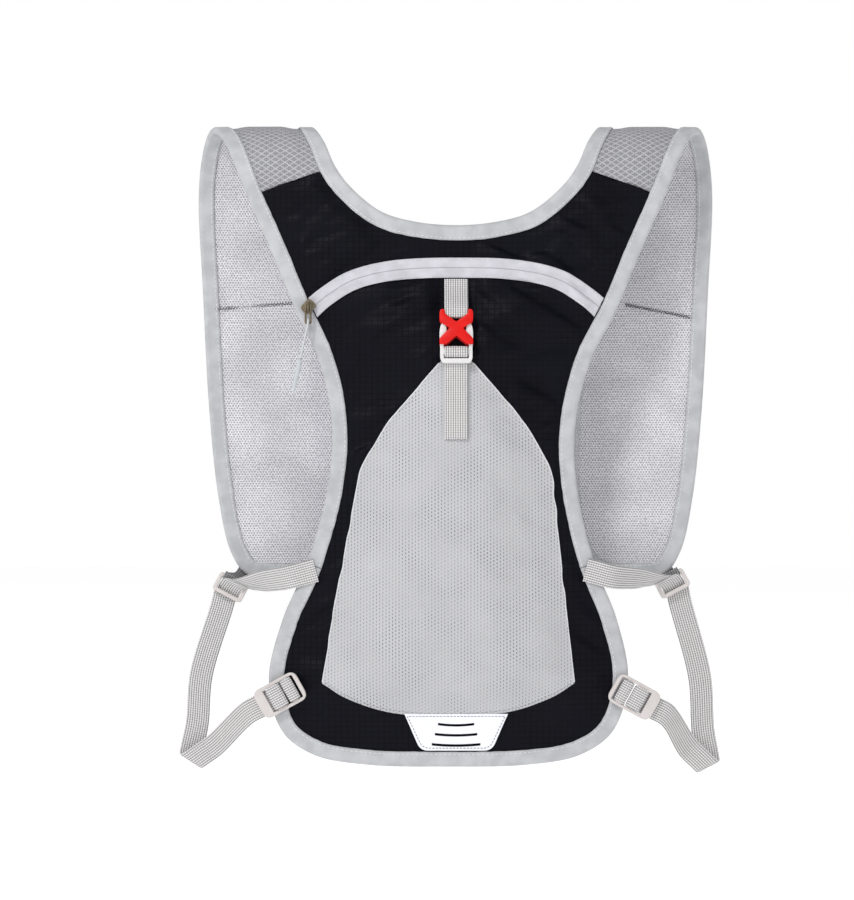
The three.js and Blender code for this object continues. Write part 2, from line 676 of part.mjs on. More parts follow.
// Reflective patch below the pocket, with slots that widen downwards
const patchTop = sAtDrop('back', POCKET_DROP) - SEAM_GAP;
function patchShape() {
  const shape = new THREE.Shape();
  const [top, low] = [PATCH_TOP_WIDTH / 2, PATCH_BOTTOM_WIDTH / 2];
  shape.moveTo(-top, 0);
  shape.lineTo(-low - PATCH_CORNER * 0.4, -PATCH_HEIGHT + PATCH_CORNER);
  shape.quadraticCurveTo(-low, -PATCH_HEIGHT, -low + PATCH_CORNER, -PATCH_HEIGHT);
  shape.lineTo(low - PATCH_CORNER, -PATCH_HEIGHT);
  shape.quadraticCurveTo(low, -PATCH_HEIGHT, low + PATCH_CORNER * 0.4, -PATCH_HEIGHT + PATCH_CORNER);
  shape.lineTo(top, 0);
  for (let i = 0; i < SLOT_COUNT; i += 1) {
    const y = -SLOT_PITCH * (i + 0.9);
    const half = (SLOT_LENGTH + SLOT_LENGTHENING * i) / 2;
    const sag = SLOT_WIDTH;
    const slot = new THREE.Path();
    slot.moveTo(-half, y);
    slot.quadraticCurveTo(0, y - sag, half, y);
    slot.lineTo(half, y - SLOT_WIDTH);
    slot.quadraticCurveTo(0, y - sag - SLOT_WIDTH, -half, y - SLOT_WIDTH);
    shape.holes.push(slot);
  }
  return shape;
}
function laidShape(shape, x0, s0, low, thickness, longest) {
  const flat = new THREE.ExtrudeGeometry(shape, {
    depth: thickness, bevelEnabled: false, curveSegments: 3,
  });
  const fine = new TessellateModifier(longest, 8).modify(flat);
  const position = fine.getAttribute('position');
  for (let i = 0; i < position.count; i += 1) {
    const x = x0 + position.getX(i);
    const s = s0 + position.getY(i);
    const p = laid(x, s, low + fullness(x, s) + position.getZ(i));
    position.setXYZ(i, p.x, p.y, p.z);
  }
  return weldedOf(fine);
}
const PATCH_BASE = TRIM_BASE + LAYER_GAP;
add('reflective_patch', laidShape(patchShape(), 0, patchTop, PATCH_BASE, CLOTH, 16), REFLECTIVE, 0.35);

// Shoulder straps: hexagon-mesh shell outside and lining inside, from the seam over the
// shoulder and down the front
const STRAP_EDGE_SHARE = 0.15;
const FOOT_SHARE = 0.965;
const ROLL_ROWS = 14;
const FRONT_ROWS = 7;
function strapPatch(side) {
  const outer = edge(side, 'seam', 'tip', INSET);
  const inner = edge(side, 'neck seam', 'foot', INSET);
  const start = SEAM_SHIFT;
  const outerCut = outer.slice(start / outer.length, 1, 150);
  const innerCut = inner.slice(start / inner.length, 1, 150);
  const low = edge(side, 'foot', 'tip', INSET);
  const rollShare = (ROLL_END - outer.points[0].y) / outer.length;
  return patch({
    bottom: side < 0
      ? straight(outerCut.at(0), innerCut.at(0)) : straight(innerCut.at(0), outerCut.at(0)),
    top: side < 0 ? low.reversed() : low,
    left: side < 0 ? outerCut : innerCut,
    right: side < 0 ? innerCut : outerCut,
    us: [0, ...spread(STRAP_EDGE_SHARE, 1 - STRAP_EDGE_SHARE, 2), 1],
    vs: [...spread(0, rollShare, ROLL_ROWS), ...spread(rollShare, FOOT_SHARE, FRONT_ROWS).slice(1), 1],
  });
}
const strapInner = (x, s) => smooth((vestEdge.distance(x, s) - THIN_EDGE) / 10);
SIDES.forEach(({ side, name }) => {
  const grid = strapPatch(side);
  add(`strap_shell_${name}`, sheet(
    [grid],
    () => LAYER_GAP,
    (x, s) => CLOTH_TOP + (SHELL_THICKNESS - CLOTH) * strapInner(x, s),
  ), MESH_GREY, 0.9);
  add(`strap_lining_${name}`, sheet(
    [grid],
    (x, s) => -PAD_EDGE - (LINING_THICKNESS - PAD_EDGE) * strapInner(x, s),
    () => 0,
  ), LINING_GREY, 0.9);
});

// Edge binding: a folded strip that holds the layers' edges in its slot
const BINDING_SECTION = [
  { inward: 0, n: -BINDING_TOP },
  { inward: 0, n: BINDING_TOP },
  { inward: BINDING_WIDTH, n: BINDING_TOP },
  { inward: BINDING_WIDTH, n: BINDING_SLOT },
  { inward: BINDING_WALL, n: BINDING_SLOT },
  { inward: BINDING_WALL, n: -BINDING_SLOT },
  { inward: BINDING_WIDTH, n: -BINDING_SLOT },
  { inward: BINDING_WIDTH, n: -BINDING_TOP },
];
const SAG_LIMIT = 0.4;
const ROLL_SAG = 0.11;
const STEP_LIMIT = 40;
function bindingStations(start, end) {
  const kept = [start];
  const place = (i) => laid(ringPoint(i).x, ringPoint(i).y, 0);
  const heading = (i) => place(i + 1).sub(place(i - 1)).normalize();
  for (let i = start + 1; i < end; i += 1) {
    const last = kept[kept.length - 1];
    const step = place(i + 1).distanceTo(place(last));
    const sag = (heading(i + 1).angleTo(heading(last)) * step) / 8;
    const isRoll = Math.abs(ringPoint(i).y - SHOULDER_S) < ROLL_END - SHOULDER_S + STEP_LIMIT / 2;
    if (sag > (isRoll ? ROLL_SAG : SAG_LIMIT) || step > STEP_LIMIT) kept.push(i);
  }
  return [...kept, end];
}
function bindingBody(start, end) {
  const rows = bindingStations(start, end).map((i) => {
    const isStart = i === start;
    const p = ringPoint(i).clone();
    if (isStart || i === end) {
      const d = ringPoint(i + (isStart ? 1 : -1)).clone().sub(p).normalize();
      p.addScaledVector(d, SEAM_SHIFT);
    }
    const inward = ringInward(i);
    return BINDING_SECTION.map((corner) => {
      const q = p.clone().addScaledVector(inward, corner.inward);
      return laid(q.x, q.y, corner.n);
    });
  });
  return loft(rows, sectionCaps);
}

// Closed body through rows of section points. caps lists the triangles of its first end,
// seen from outside against the rows' direction.
function loft(rows, caps) {
  const count = rows[0].length;
  const triangles = [];
  rows.slice(1).forEach((row, j) => {
    for (let i = 0; i < count; i += 1) {
      const k = (i + 1) % count;
      triangles.push([rows[j][i], row[i], row[k]], [rows[j][i], row[k], rows[j][k]]);
    }
  });
  const last = rows[rows.length - 1];
  caps.forEach(([a, b, c]) => {
    triangles.push([rows[0][a], rows[0][b], rows[0][c]], [last[a], last[c], last[b]]);
  });
  return bodyFrom(triangles);
}
const fan = (count) => Array.from({ length: count - 2 }, (_, i) => [0, i + 1, i + 2]);
const sectionFlat = BINDING_SECTION.map((corner) => new THREE.Vector2(corner.inward, corner.n));
const sectionCaps = THREE.ShapeUtils.triangulateShape(sectionFlat, []).map(([a, b, c]) => (
  THREE.ShapeUtils.isClockWise([sectionFlat[a], sectionFlat[b], sectionFlat[c]])
    ? [a, b, c] : [a, c, b]));
add('hem_binding', bindingBody(markIndex('tie', -1), markIndex('tie', 1)), BINDING_GREY, 0.8);
add('side_binding_right', bindingBody(markIndex('tie', 1), markIndex('foot', 1)), BINDING_GREY, 0.8);
add('side_binding_left', bindingBody(markIndex('foot', -1), markIndex('tie', -1)), BINDING_GREY, 0.8);
add('neck_binding', bindingBody(
  markIndex('foot', 1),
  RING_COUNT + markIndex('foot', -1),
), BINDING_GREY, 0.8);

// A geometry with one vertex at each point, and boolean joins and cuts of such
function weldedOf(geometry) {
  const bare = geometry.clone();
  bare.deleteAttribute('normal');
  bare.deleteAttribute('uv');
  return mergeVertices(bare, 1e-3);
}
function solidOf(geometry) {
  const merged = weldedOf(geometry);
  return new wasm.Manifold(new wasm.Mesh({
    numProp: 3,
    vertProperties: new Float32Array(merged.getAttribute('position').array),
    triVerts: new Uint32Array(merged.index.array),
  }));
}
function geometryOf(solid) {
  const mesh = solid.getMesh();
  const geometry = new THREE.BufferGeometry();
  geometry.setAttribute('position', new THREE.BufferAttribute(mesh.vertProperties, 3));
  geometry.setIndex(new THREE.BufferAttribute(mesh.triVerts, 1));
  geometry.computeVertexNormals();
  return geometry;
}
const joined = (geometries) =>
  geometryOf(geometries.map(solidOf).reduce((whole, next) => whole.add(next)));

// Rectangle with rounded corners between two opposite corners
function roundedOn(path, x0, y0, x1, y1, radius) {
  path.moveTo(x0 + radius, y0);
  path.lineTo(x1 - radius, y0);
  path.absarc(x1 - radius, y0 + radius, radius, -Math.PI / 2, 0, false);
  path.lineTo(x1, y1 - radius);
  path.absarc(x1 - radius, y1 - radius, radius, 0, Math.PI / 2, false);
  path.lineTo(x0 + radius, y1);
  path.absarc(x0 + radius, y1 - radius, radius, Math.PI / 2, Math.PI, false);
  path.lineTo(x0, y0 + radius);
  path.absarc(x0 + radius, y0 + radius, radius, Math.PI, 1.5 * Math.PI, false);
  return path;
}
const rounded = (...sizes) => roundedOn(new THREE.Shape(), ...sizes);
const opening = (...sizes) => roundedOn(new THREE.Path(), ...sizes);
const centred = (x, y, width, height, radius) =>
  rounded(x - width / 2, y - height / 2, x + width / 2, y + height / 2, radius);

// Flat plate of a shape, its middle at height z
const plate = (shape, thickness, z = 0, curveSegments = 2) =>
  new THREE.ExtrudeGeometry(shape, { depth: thickness, bevelEnabled: false, curveSegments })
    .translate(0, 0, z - thickness / 2);

// Frames in space: across, up and outwards
function frameFrom(origin, across, up) {
  const out = across.clone().cross(up).normalize();
  return new THREE.Matrix4().makeBasis(across, out.clone().cross(across), out)
    .setPosition(origin);
}
const REACH = 12;
function clothFrame(x, s, n) {
  const at = (dx, ds) => laid(x + dx, s + ds, n + fullness(x + dx, s + ds));
  const across = at(REACH, 0).sub(at(-REACH, 0)).normalize();
  const up = at(0, REACH).sub(at(0, -REACH)).normalize();
  return frameFrom(at(0, 0), across, up);
}
const turned = (frame, degrees) =>
  frame.clone().multiply(new THREE.Matrix4().makeRotationZ(THREE.MathUtils.degToRad(degrees)));
const inFrame = (frame, x, y, z) => new THREE.Vector3(x, y, z).applyMatrix4(frame);
const axisOf = (frame, column) => new THREE.Vector3().setFromMatrixColumn(frame, column);
const addIn = (frame, name, geometry, ...look) =>
  add(name, geometry.applyMatrix4(frame), ...look);

// Webbing along a smooth line through stations of a middle point and a cross direction
function route(stations, steps, columns = 1) {
  const middle = new THREE.CatmullRomCurve3(stations.map((q) => q.at), false, 'centripetal');
  const cross = new THREE.CatmullRomCurve3(stations.map((q) => q.across), false, 'centripetal');
  return spread(0, 1, steps)
    .map((t) => crossLine(middle.getPoint(t), cross.getPoint(t).normalize(), columns));
}
// Stations in a frame from rows of y and z
const stationsIn = (frame, rows) => rows.map(([y, z]) => ({
  at: inFrame(frame, 0, y, z),
  across: axisOf(frame, 0),
}));

// Rows of webbing that comes up beside a flat bar, passes over it and goes down again
const LAYER = WEBBING_THICKNESS / 2 + WEBBING_GAP;
const BESIDE = LAYER + 0.15;
const overBar = (low, high, half) => [
  [low - BESIDE, -half * 0.9],
  [low - BESIDE, half * 0.9],
  [low + 0.4, half + LAYER],
  [high - 0.4, half + LAYER],
  [high + BESIDE, half * 0.9],
  [high + BESIDE, -half * 0.9],
];
// Rows of webbing that is folded once about a bar whose middle lies at y
const roundBar = (y, reach) => [
  [y + 1.2, reach],
  [y - reach * 0.82, reach * 0.82],
  [y - reach, 0],
  [y - reach * 0.82, -reach * 0.82],
  [y + 1.2, -reach],
];

// Buckle on the pack's outer cloth: the webbing holds it clear of the cloth and the pocket
const HALF = BUCKLE_LENGTH / 2;
const SOCKET_FOOT = HALF - SOCKET_LENGTH;
const CROSS_Y = HALF - SOCKET_LENGTH / 2;
const STRAP_HEIGHT = TRIM_TOP + LAYER;
const BUCKLE_HEIGHT = STRAP_HEIGHT + LAYER + PLUG_THICKNESS / 2;
const buckleS = sAtDrop('back', BUCKLE_DROP);
const buckleFrame = clothFrame(0, buckleS, BUCKLE_HEIGHT);
const POST_X = BUCKLE_WIDTH / 2 - SOCKET_POST;
const SLOT_X = WEBBING_WIDTH / 2 + WEBBING_GAP;
const SOCKET_BAR_Y = HALF - 1.2 - SOCKET_BAR / 2;
const WINDOW_FOOT = SOCKET_BAR_Y - SOCKET_BAR / 2 - WEBBING_THICKNESS - 3 * WEBBING_GAP;
function buckleSocket() {
  const reachX = BUCKLE_WIDTH / 2 - SOCKET_ARM / 2;
  const reachY = SOCKET_LENGTH / 2 - SOCKET_ARM / 2;
  const arm = centred(0, 0, 2 * Math.hypot(reachX, reachY) + 2, SOCKET_ARM, 2);
  const arms = [];
  const pieces = [plate(centred(0, SOCKET_BAR_Y, 2 * POST_X + 1, SOCKET_BAR, 0.6), SOCKET_BAR)];
  [-1, 1].forEach((side) => {
    const angle = side * Math.atan2(reachY, reachX);
    const level = BUCKLE_THICKNESS / 2 - SOCKET_WALL / 2;
    [-level, level].forEach((z) => {
      arms.push(plate(arm, SOCKET_WALL, z, 1).rotateZ(angle).translate(0, CROSS_Y, 0));
    });
    const x = side * (POST_X + SOCKET_POST / 2);
    [[HALF - 3.2, 5.2], [SOCKET_FOOT + 2.4, 4]].forEach(([y, height]) => {
      const post = centred(x, y, SOCKET_POST, height, 0.5);
      pieces.push(plate(post, BUCKLE_THICKNESS - 0.4, 0, 1));
    });
  });
  const window = plate(rounded(-SLOT_X, WINDOW_FOOT, SLOT_X, HALF + 2, 1), BUCKLE_THICKNESS * 2);
  const crossed = solidOf(joined(arms)).subtract(solidOf(window));
  return geometryOf(pieces.map(solidOf).reduce((whole, next) => whole.add(next), crossed));
}
addIn(buckleFrame, 'buckle_socket', buckleSocket(), BUCKLE_RED, 0.4);

const SLOT_LOW = -HALF + PLUG_FOOT;
const BAR_LOW = SLOT_LOW + PLUG_SLOT;
const BAR_HIGH = BAR_LOW + PLUG_BAR;
const BRIDGE_Y = BAR_HIGH + PLUG_SLOT;
const EAR_X = POST_X - SEAM_GAP;
function bucklePlug() {
  const half = PLUG_WIDTH / 2;
  const base = rounded(-half, -HALF, half, SOCKET_FOOT - SEAM_GAP, 1.8);
  base.holes.push(opening(-SLOT_X, SLOT_LOW, SLOT_X, BAR_LOW, 0.5));
  const mouth = plate(rounded(-SLOT_X, BAR_HIGH, SLOT_X, 0, 0.5), PLUG_THICKNESS * 2);
  const bridge = rounded(-EAR_X, BRIDGE_Y - 0.3, EAR_X, BRIDGE_Y + PLUG_BRIDGE, 0.2);
  const prong = rounded(-1.6, BRIDGE_Y + 1, 1.6, CROSS_Y, 1.2);
  const ears = [-1, 1].map((side) => {
    const inner = EAR_X - EAR_WIDTH;
    const ear = new THREE.Shape();
    ear.moveTo(side * inner, BRIDGE_Y + 1);
    ear.lineTo(side * EAR_X, BRIDGE_Y + 1);
    ear.lineTo(side * EAR_X, SOCKET_FOOT + 5);
    ear.quadraticCurveTo((side * BUCKLE_WIDTH) / 2, CROSS_Y, side * EAR_X, HALF - 7);
    ear.lineTo(side * (EAR_X - 0.8), HALF - 6.6);
    ear.quadraticCurveTo(side * (inner + 1.4), CROSS_Y, side * inner, SOCKET_FOOT + 4.4);
    ear.closePath();
    return plate(ear, PLUG_THICKNESS);
  });
  const frame = solidOf(plate(base, PLUG_THICKNESS)).subtract(solidOf(mouth));
  const rest = [plate(bridge, PLUG_THICKNESS), plate(prong, PLUG_THICKNESS), ...ears];
  return geometryOf(rest.map(solidOf).reduce((whole, next) => whole.add(next), frame));
}
addIn(buckleFrame, 'buckle_plug', bucklePlug(), PLASTIC_WHITE, 0.4);

// Strap of the pocket: above the buckle from the zip down and round the socket's bar
const across = axisOf(buckleFrame, 0);
const clothStation = (drop, height) => {
  const s = sAtDrop('back', drop);
  return { at: laid(0, s, height + fullness(0, s)), across };
};
const foldReach = SOCKET_BAR / 2 + LAYER;
const UPPER_START = ZIP_DROP + TAPE_WIDTH / 2 + 1;
add('webbing_upper', webbing(route([
  clothStation(UPPER_START, CLOTH_TOP + LAYER + 0.4),
  clothStation(UPPER_START + 5, CLOTH_TOP + LAYER + 2),
  ...stationsIn(buckleFrame, [
    [SOCKET_BAR_Y + 4, foldReach],
    ...roundBar(SOCKET_BAR_Y, foldReach),
    [SOCKET_BAR_Y + 4, -foldReach],
  ]),
], 22)), WEBBING_GREY, 0.85);
const underPlug = -PLUG_THICKNESS / 2 - LAYER;
const pocketStation = (drop) => {
  const s = sAtDrop('back', drop);
  return { at: laid(0, s, pocketUnder(0, s) + CLOTH + LAYER), across };
};
const POCKET_WEBBING_STEPS = 4;
add('webbing_lower', webbing(route([
  ...spread(LOWER_WEBBING_END, POCKET_TOP + 10, POCKET_WEBBING_STEPS).map(pocketStation),
  ...stationsIn(buckleFrame, [
    [-HALF, underPlug],
    [BAR_LOW - BESIDE - 0.8, underPlug + 0.1],
    ...overBar(BAR_LOW, BAR_HIGH, PLUG_THICKNESS / 2),
    [BAR_HIGH + 0.5, underPlug + 0.2],
    [BAR_LOW + 1.2, underPlug],
  ]),
], 34)), WEBBING_GREY, 0.85);

// Zip slider with its bridge, the tab under the bridge, and the cord through the tab
const SLIDER_AT = 0.94;
const BRIDGE_WIDTH = 1.2;
const BRIDGE_SPAN = 6.4;
const sliderPoint = new THREE.Vector2((-ZIP_SPAN / 2) * SLIDER_AT, sAtDrop('back', ZIP_DROP + 25));
const sliderFrame = clothFrame(
  sliderPoint.x,
  sliderPoint.y,
  COIL_TOP + LAYER_GAP + SLIDER_HEIGHT / 2,
);
const TAB_Z = SLIDER_HEIGHT / 2 + LAYER_GAP + TAB_WIRE / 2;
const BRIDGE_Z = TAB_Z + TAB_WIRE + LAYER_GAP;
function zipSlider() {
  const body = plate(centred(0, 0, SLIDER_LENGTH, SLIDER_WIDTH, 2.4), SLIDER_HEIGHT);
  const rise = BRIDGE_Z + BRIDGE_WIDTH / 2;
  const posts = [-1, 1].map((end) => {
    const y = (end * (BRIDGE_SPAN - BRIDGE_WIDTH)) / 2;
    return plate(centred(0, y, BRIDGE_WIDTH, BRIDGE_WIDTH, 0.3), rise, rise / 2);
  });
  const bar = plate(centred(0, 0, BRIDGE_WIDTH, BRIDGE_SPAN, 0.3), BRIDGE_WIDTH, BRIDGE_Z);
  return joined([body.rotateZ(Math.PI / 4), ...posts, bar]);
}
addIn(sliderFrame, 'zip_slider', zipSlider(), METAL, 0.35, 0.9);
const TAB_TOP = BRIDGE_SPAN / 2 - BRIDGE_WIDTH - SEAM_GAP;
const tabShape = rounded(-TAB_WIDTH / 2, TAB_TOP - TAB_LENGTH, TAB_WIDTH / 2, TAB_TOP, 1.2);
tabShape.holes.push(opening(
  -TAB_WIDTH / 2 + TAB_WIRE,
  TAB_TOP - TAB_LENGTH + TAB_WIRE,
  TAB_WIDTH / 2 - TAB_WIRE,
  TAB_TOP - TAB_WIRE,
  0.6,
));
addIn(sliderFrame, 'zip_pull_tab', plate(tabShape, TAB_WIRE, TAB_Z), METAL, 0.35, 0.9);

const CORD_LEAN = 0.22;
const tabFoot = inFrame(sliderFrame, 0, TAB_TOP - TAB_LENGTH + TAB_WIRE / 2, TAB_Z);
const cordDown = new THREE.Vector3(-CORD_LEAN, 0, -1).normalize();
const cordRound = CORD_DIAMETER / 2 + TAB_WIRE * 0.8 + LAYER_GAP;
const cordAt = (along, depth) => tabFoot.clone()
  .addScaledVector(cordDown, Math.max(along, 0))
  .add(new THREE.Vector3(0, depth, Math.max(-along, 0)));
const strand = CORD_DIAMETER / 2 + SEAM_GAP / 2;
const cordRows = [[CORD_DROP, -strand], [CORD_DROP * 0.5, -strand - 0.3], [0, -cordRound]];
const cordCurve = new THREE.CatmullRomCurve3([
  ...cordRows.map((row) => cordAt(...row)),
  cordAt(-cordRound, 0),
  ...[...cordRows].reverse().map(([along, depth]) => cordAt(along, -depth)),
], false, 'centripetal');
const cordShape = new THREE.Shape().absarc(0, 0, CORD_DIAMETER / 2, 0, 2 * Math.PI, false);
const cordGeometry = new THREE.ExtrudeGeometry(cordShape, {
  steps: 18, curveSegments: 4, extrudePath: cordCurve,
});
add('zip_cord', weldedOf(cordGeometry), CORD_GREY, 0.8);
// Moulded end, turned about its own length
const CORD_END_ROUND = [
  { along: 0, wide: 0.5 }, { along: 0.05, wide: 0.9 }, { along: 0.25, wide: 1 },
  { along: 0.85, wide: 0.82 }, { along: 1, wide: 0.45 },
];
function cordEnd() {
  const sides = 8;
  const top = cordAt(CORD_DROP + SEAM_GAP, 0);
  const sideways = new THREE.Vector3(0, 1, 0);
  const forward = sideways.clone().cross(cordDown);
  const rings = CORD_END_ROUND.map((row) => spread(0, 2 * Math.PI, sides).slice(0, -1)
    .map((angle) => top.clone()
      .addScaledVector(cordDown, row.along * CORD_END_LENGTH)
      .addScaledVector(sideways, (Math.cos(angle) * row.wide * CORD_END_DIAMETER) / 2)
      .addScaledVector(forward, (Math.sin(angle) * row.wide * CORD_END_DIAMETER) / 2)));
  return loft(rings, fan(sides));
}
add('zip_cord_end', cordEnd(), CORD_GREY, 0.5);

// Rings, held to the front panels' lower corners by tabs
const RING_WIDTH = WEBBING_WIDTH + 2 * WEBBING_GAP + 2 * RING_WIRE;
const ringInner = RING_LENGTH / 2 - RING_WIRE;
const BAR_Y = RING_LENGTH / 2 - RING_WIRE / 2;
function ringShape() {
  const shape = centred(0, 0, RING_WIDTH, RING_LENGTH, 2.4);
  const inner = RING_WIDTH / 2 - RING_WIRE;
  shape.holes.push(opening(-inner, -ringInner, inner, ringInner, 0.8));
  return shape;
}
SIDES.forEach((row) => {
  const { side, name } = row;
  const [tipIndex, tieIndex] = [markIndex('tip', side), markIndex('tie', side)];
  const pointIn = (index, inward) =>
    ringPoint(index).clone().addScaledVector(ringInward(index), inward);
  const tip = pointIn(tipIndex, 0);
  const clearOfPanel = BINDING_TOP + LAYER + RING_WIRE / 2;
  const ringFrame = turned(frameFrom(
    new THREE.Vector3(side * row.ringReach, laid(tip.x, tip.y, 0).y - clearOfPanel, -row.ringDrop),
    new THREE.Vector3(1, 0, 0),
    new THREE.Vector3(0, 0, 1),
  ), side * RING_TURN);
  addIn(ringFrame, `ring_${name}`, plate(ringShape(), RING_WIRE), PLASTIC_WHITE, 0.4);

  // Tab from behind the panel's corner, out past its edge and round the ring's upper bar
  const loop = RING_WIRE / 2 + LAYER;
  const [before, after] = [pointIn(tipIndex - 1, 0), pointIn(tipIndex + 1, 0)];
  const tipAlong = laid(before.x, before.y, 0).sub(laid(after.x, after.y, 0)).normalize();
  const panelStation = (inward, n) => {
    const q = pointIn(tipIndex, inward);
    return { at: laid(q.x, q.y, n), across: tipAlong };
  };
  add(`ring_tab_${name}`, webbing(route([
    panelStation(BINDING_WIDTH * 0.7, BINDING_TOP + LAYER),
    panelStation(-1.5, BINDING_TOP + LAYER),
    panelStation(-4, 1),
    ...stationsIn(ringFrame, [...roundBar(BAR_Y, loop).reverse(), [BAR_Y + 3, loop]]),
  ], 14)), TAB_GREY, 0.85);

  // Waist webbing from the side of the pack through the ring and behind its lower bar
  const tie = pointIn(tieIndex, BINDING_WIDTH);
  const fall = THREE.MathUtils.degToRad(STRAP_FALL);
  const tieStation = (reach) => {
    const x = tie.x + side * Math.cos(fall) * reach;
    return {
      at: laid(x, tie.y - Math.sin(fall) * reach, BINDING_TOP + LAYER),
      across: new THREE.Vector3(side * Math.sin(fall), 0, Math.cos(fall)),
    };
  };
  const bar = axisOf(ringFrame, 0).multiplyScalar(side);
  const start = tieStation(BINDING_WIDTH + 11);
  const ringStations = [
    [7, BAR_Y + 0.8, loop + 2.9],
    [1.5, BAR_Y - 1.2, loop + 2.4],
    [0, -0.5, 0],
    [0, -ringInner - 0.4, -loop - 0.3],
    [0, -BAR_Y - 2, -loop - 0.2],
  ].map(([x, y, z]) => ({ at: inFrame(ringFrame, -side * x, y, z), across: bar }));
  const half = start.at.clone().lerp(ringStations[0].at, 0.5);
  add(`waist_webbing_${name}`, webbing(route([
    tieStation(0),
    tieStation(BINDING_WIDTH),
    start,
    { at: half, across: start.across.clone().lerp(bar, 0.3).normalize() },
    ...ringStations,
  ], 22)), WEBBING_GREY, 0.85);

  addLoop(row, ringFrame, loop);
});

// Adjuster webbing: down from behind the ring, folded back and up to the ladder lock
function addLoop(row, ringFrame, ringLoop) {
  const { side, name } = row;
  const lockHeight = BINDING_TOP + 2.4 * LAYER + LOCK_THICKNESS / 2;
  const lockS = sAtDrop('back', row.lockDrop);
  const lockFrame = turned(
    clothFrame(side * row.lockReach, lockS, lockHeight),
    side * (90 - LOCK_TURN),
  );
  const along = (share) => LOCK_LENGTH * (share - 0.5);
  const lockShape = rounded(-LOCK_WIDTH / 2, along(0), LOCK_WIDTH / 2, along(1), 3);
  const inner = LOCK_WIDTH / 2 - LOCK_RIM;
  LOCK_BARS.slice(1).forEach((bar, i) => {
    lockShape.holes.push(opening(-inner, along(LOCK_BARS[i].to), inner, along(bar.from), 0.6));
  });
  addIn(lockFrame, `ladder_lock_${name}`, plate(lockShape, LOCK_THICKNESS), PLASTIC_WHITE, 0.4);

  const [, , third, fourth] = LOCK_BARS.map((bar) => ({
    low: along(bar.from), high: along(bar.to),
  }));
  const half = LOCK_THICKNESS / 2;
  const over = half + LAYER;
  add(`lock_tab_${name}`, webbing(route(stationsIn(lockFrame, [
    ...overBar(fourth.low, fourth.high, half),
    [fourth.high + 0.4, -over],
    [fourth.low - 0.6, -over - 0.1],
  ]), 18)), WEBBING_GREY, 0.85);

  // The fold's own directions follow from where the two runs come from and go to
  const foldPoint = new THREE.Vector3(side * row.foldReach, 0, -row.foldDrop);
  const lip = inFrame(lockFrame, 0, along(0) - 1, 0).setY(0);
  const flat = (v) => new THREE.Vector2(v.x, v.z);
  const top = inFrame(ringFrame, side * 2.5, -2.5, -ringLoop - 2 * LAYER);
  const d1 = flat(foldPoint).sub(flat(top)).normalize();
  const d2 = flat(lip).sub(flat(foldPoint)).normalize();
  const down = d1.clone().sub(d2).normalize();
  const axis = new THREE.Vector2(-down.y, down.x).multiplyScalar(side < 0 ? 1 : -1);
  const skew = Math.atan2(d1.dot(axis), d1.dot(down));
  const foldY = top.y - 8;
  const wraps = Math.PI * FOLD_RADIUS;
  const foldLine = (l) => spread(-WEBBING_WIDTH / 2, WEBBING_WIDTH / 2, FOLD_COLUMNS)
    .map((w) => {
      const h = l * Math.cos(skew) - w * Math.sin(skew);
      const e = l * Math.sin(skew) + w * Math.cos(skew);
      const turn = THREE.MathUtils.clamp(h, 0, wraps) / FOLD_RADIUS;
      const reach = Math.min(h, 0) - Math.max(h - wraps, 0) + FOLD_RADIUS * Math.sin(turn);
      const depth = FOLD_RADIUS * (1 - Math.cos(turn));
      return new THREE.Vector3(
        foldPoint.x + axis.x * e + down.x * reach,
        foldY - depth,
        foldPoint.z + axis.y * e + down.y * reach,
      );
    });
  const clearOf = (WEBBING_WIDTH / 2) * Math.tan(Math.abs(skew)) + 1;
  const lastTurn = wraps / Math.cos(skew) + clearOf;
  const folds = spread(-clearOf, lastTurn, 9).map(foldLine);
  const middleOf = (line) => line[FOLD_COLUMNS / 2];
  const acrossOf = (line) => line[FOLD_COLUMNS].clone().sub(line[0]).normalize();
  const stationOf = (line) => ({ at: middleOf(line), across: acrossOf(line) });
  const down1 = new THREE.Vector3(d1.x, 0, d1.y);
  const up2 = new THREE.Vector3(d2.x, 0, d2.y);
  const leaving = stationOf(folds[0]);
  const bowSign = Math.sign(leaving.across.x * side);
  const rising = stationOf(folds[folds.length - 1]);
  const bowed = top.clone().lerp(leaving.at, 0.55).addScaledVector(leaving.across, RUN_BOW * bowSign);
  const runA = route([
    { at: top, across: leaving.across },
    { at: top.clone().addScaledVector(down1, 10), across: leaving.across },
    { at: bowed, across: leaving.across },
    { at: leaving.at.clone().addScaledVector(down1, -16), across: leaving.across },
    leaving,
  ], 7, FOLD_COLUMNS);
  const lockAcross = axisOf(lockFrame, 0).multiplyScalar(side < 0 ? 1 : -1);
  const runB = route([
    rising,
    { at: rising.at.clone().addScaledVector(up2, 10), across: rising.across },
    ...stationsIn(lockFrame, [
      [along(0) - 9, -over - 1],
      [along(0), -over],
      [third.low - BESIDE - 0.9, -over + 0.1],
      ...overBar(third.low, third.high, half),
    ]).map(({ at }) => ({ at, across: lockAcross })),
  ], 22, FOLD_COLUMNS);
  add(`adjuster_webbing_${name}`, webbing([
    ...runA.slice(0, -1),
    ...folds,
    ...runB.slice(1),
  ]), WEBBING_GREY, 0.85);
}

export default root;
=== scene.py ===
"""Running backpack of vest form, hung up by its shoulders and seen from the pack side.

Lengths are worked out in millimetres and become metres when a mesh is made. The vest is one
flat pattern laid over a profile: x runs across it and s along the profile, from the hem up
the back, over the shoulder and down the front. A layer's height n is measured off the pattern.
"""

import math

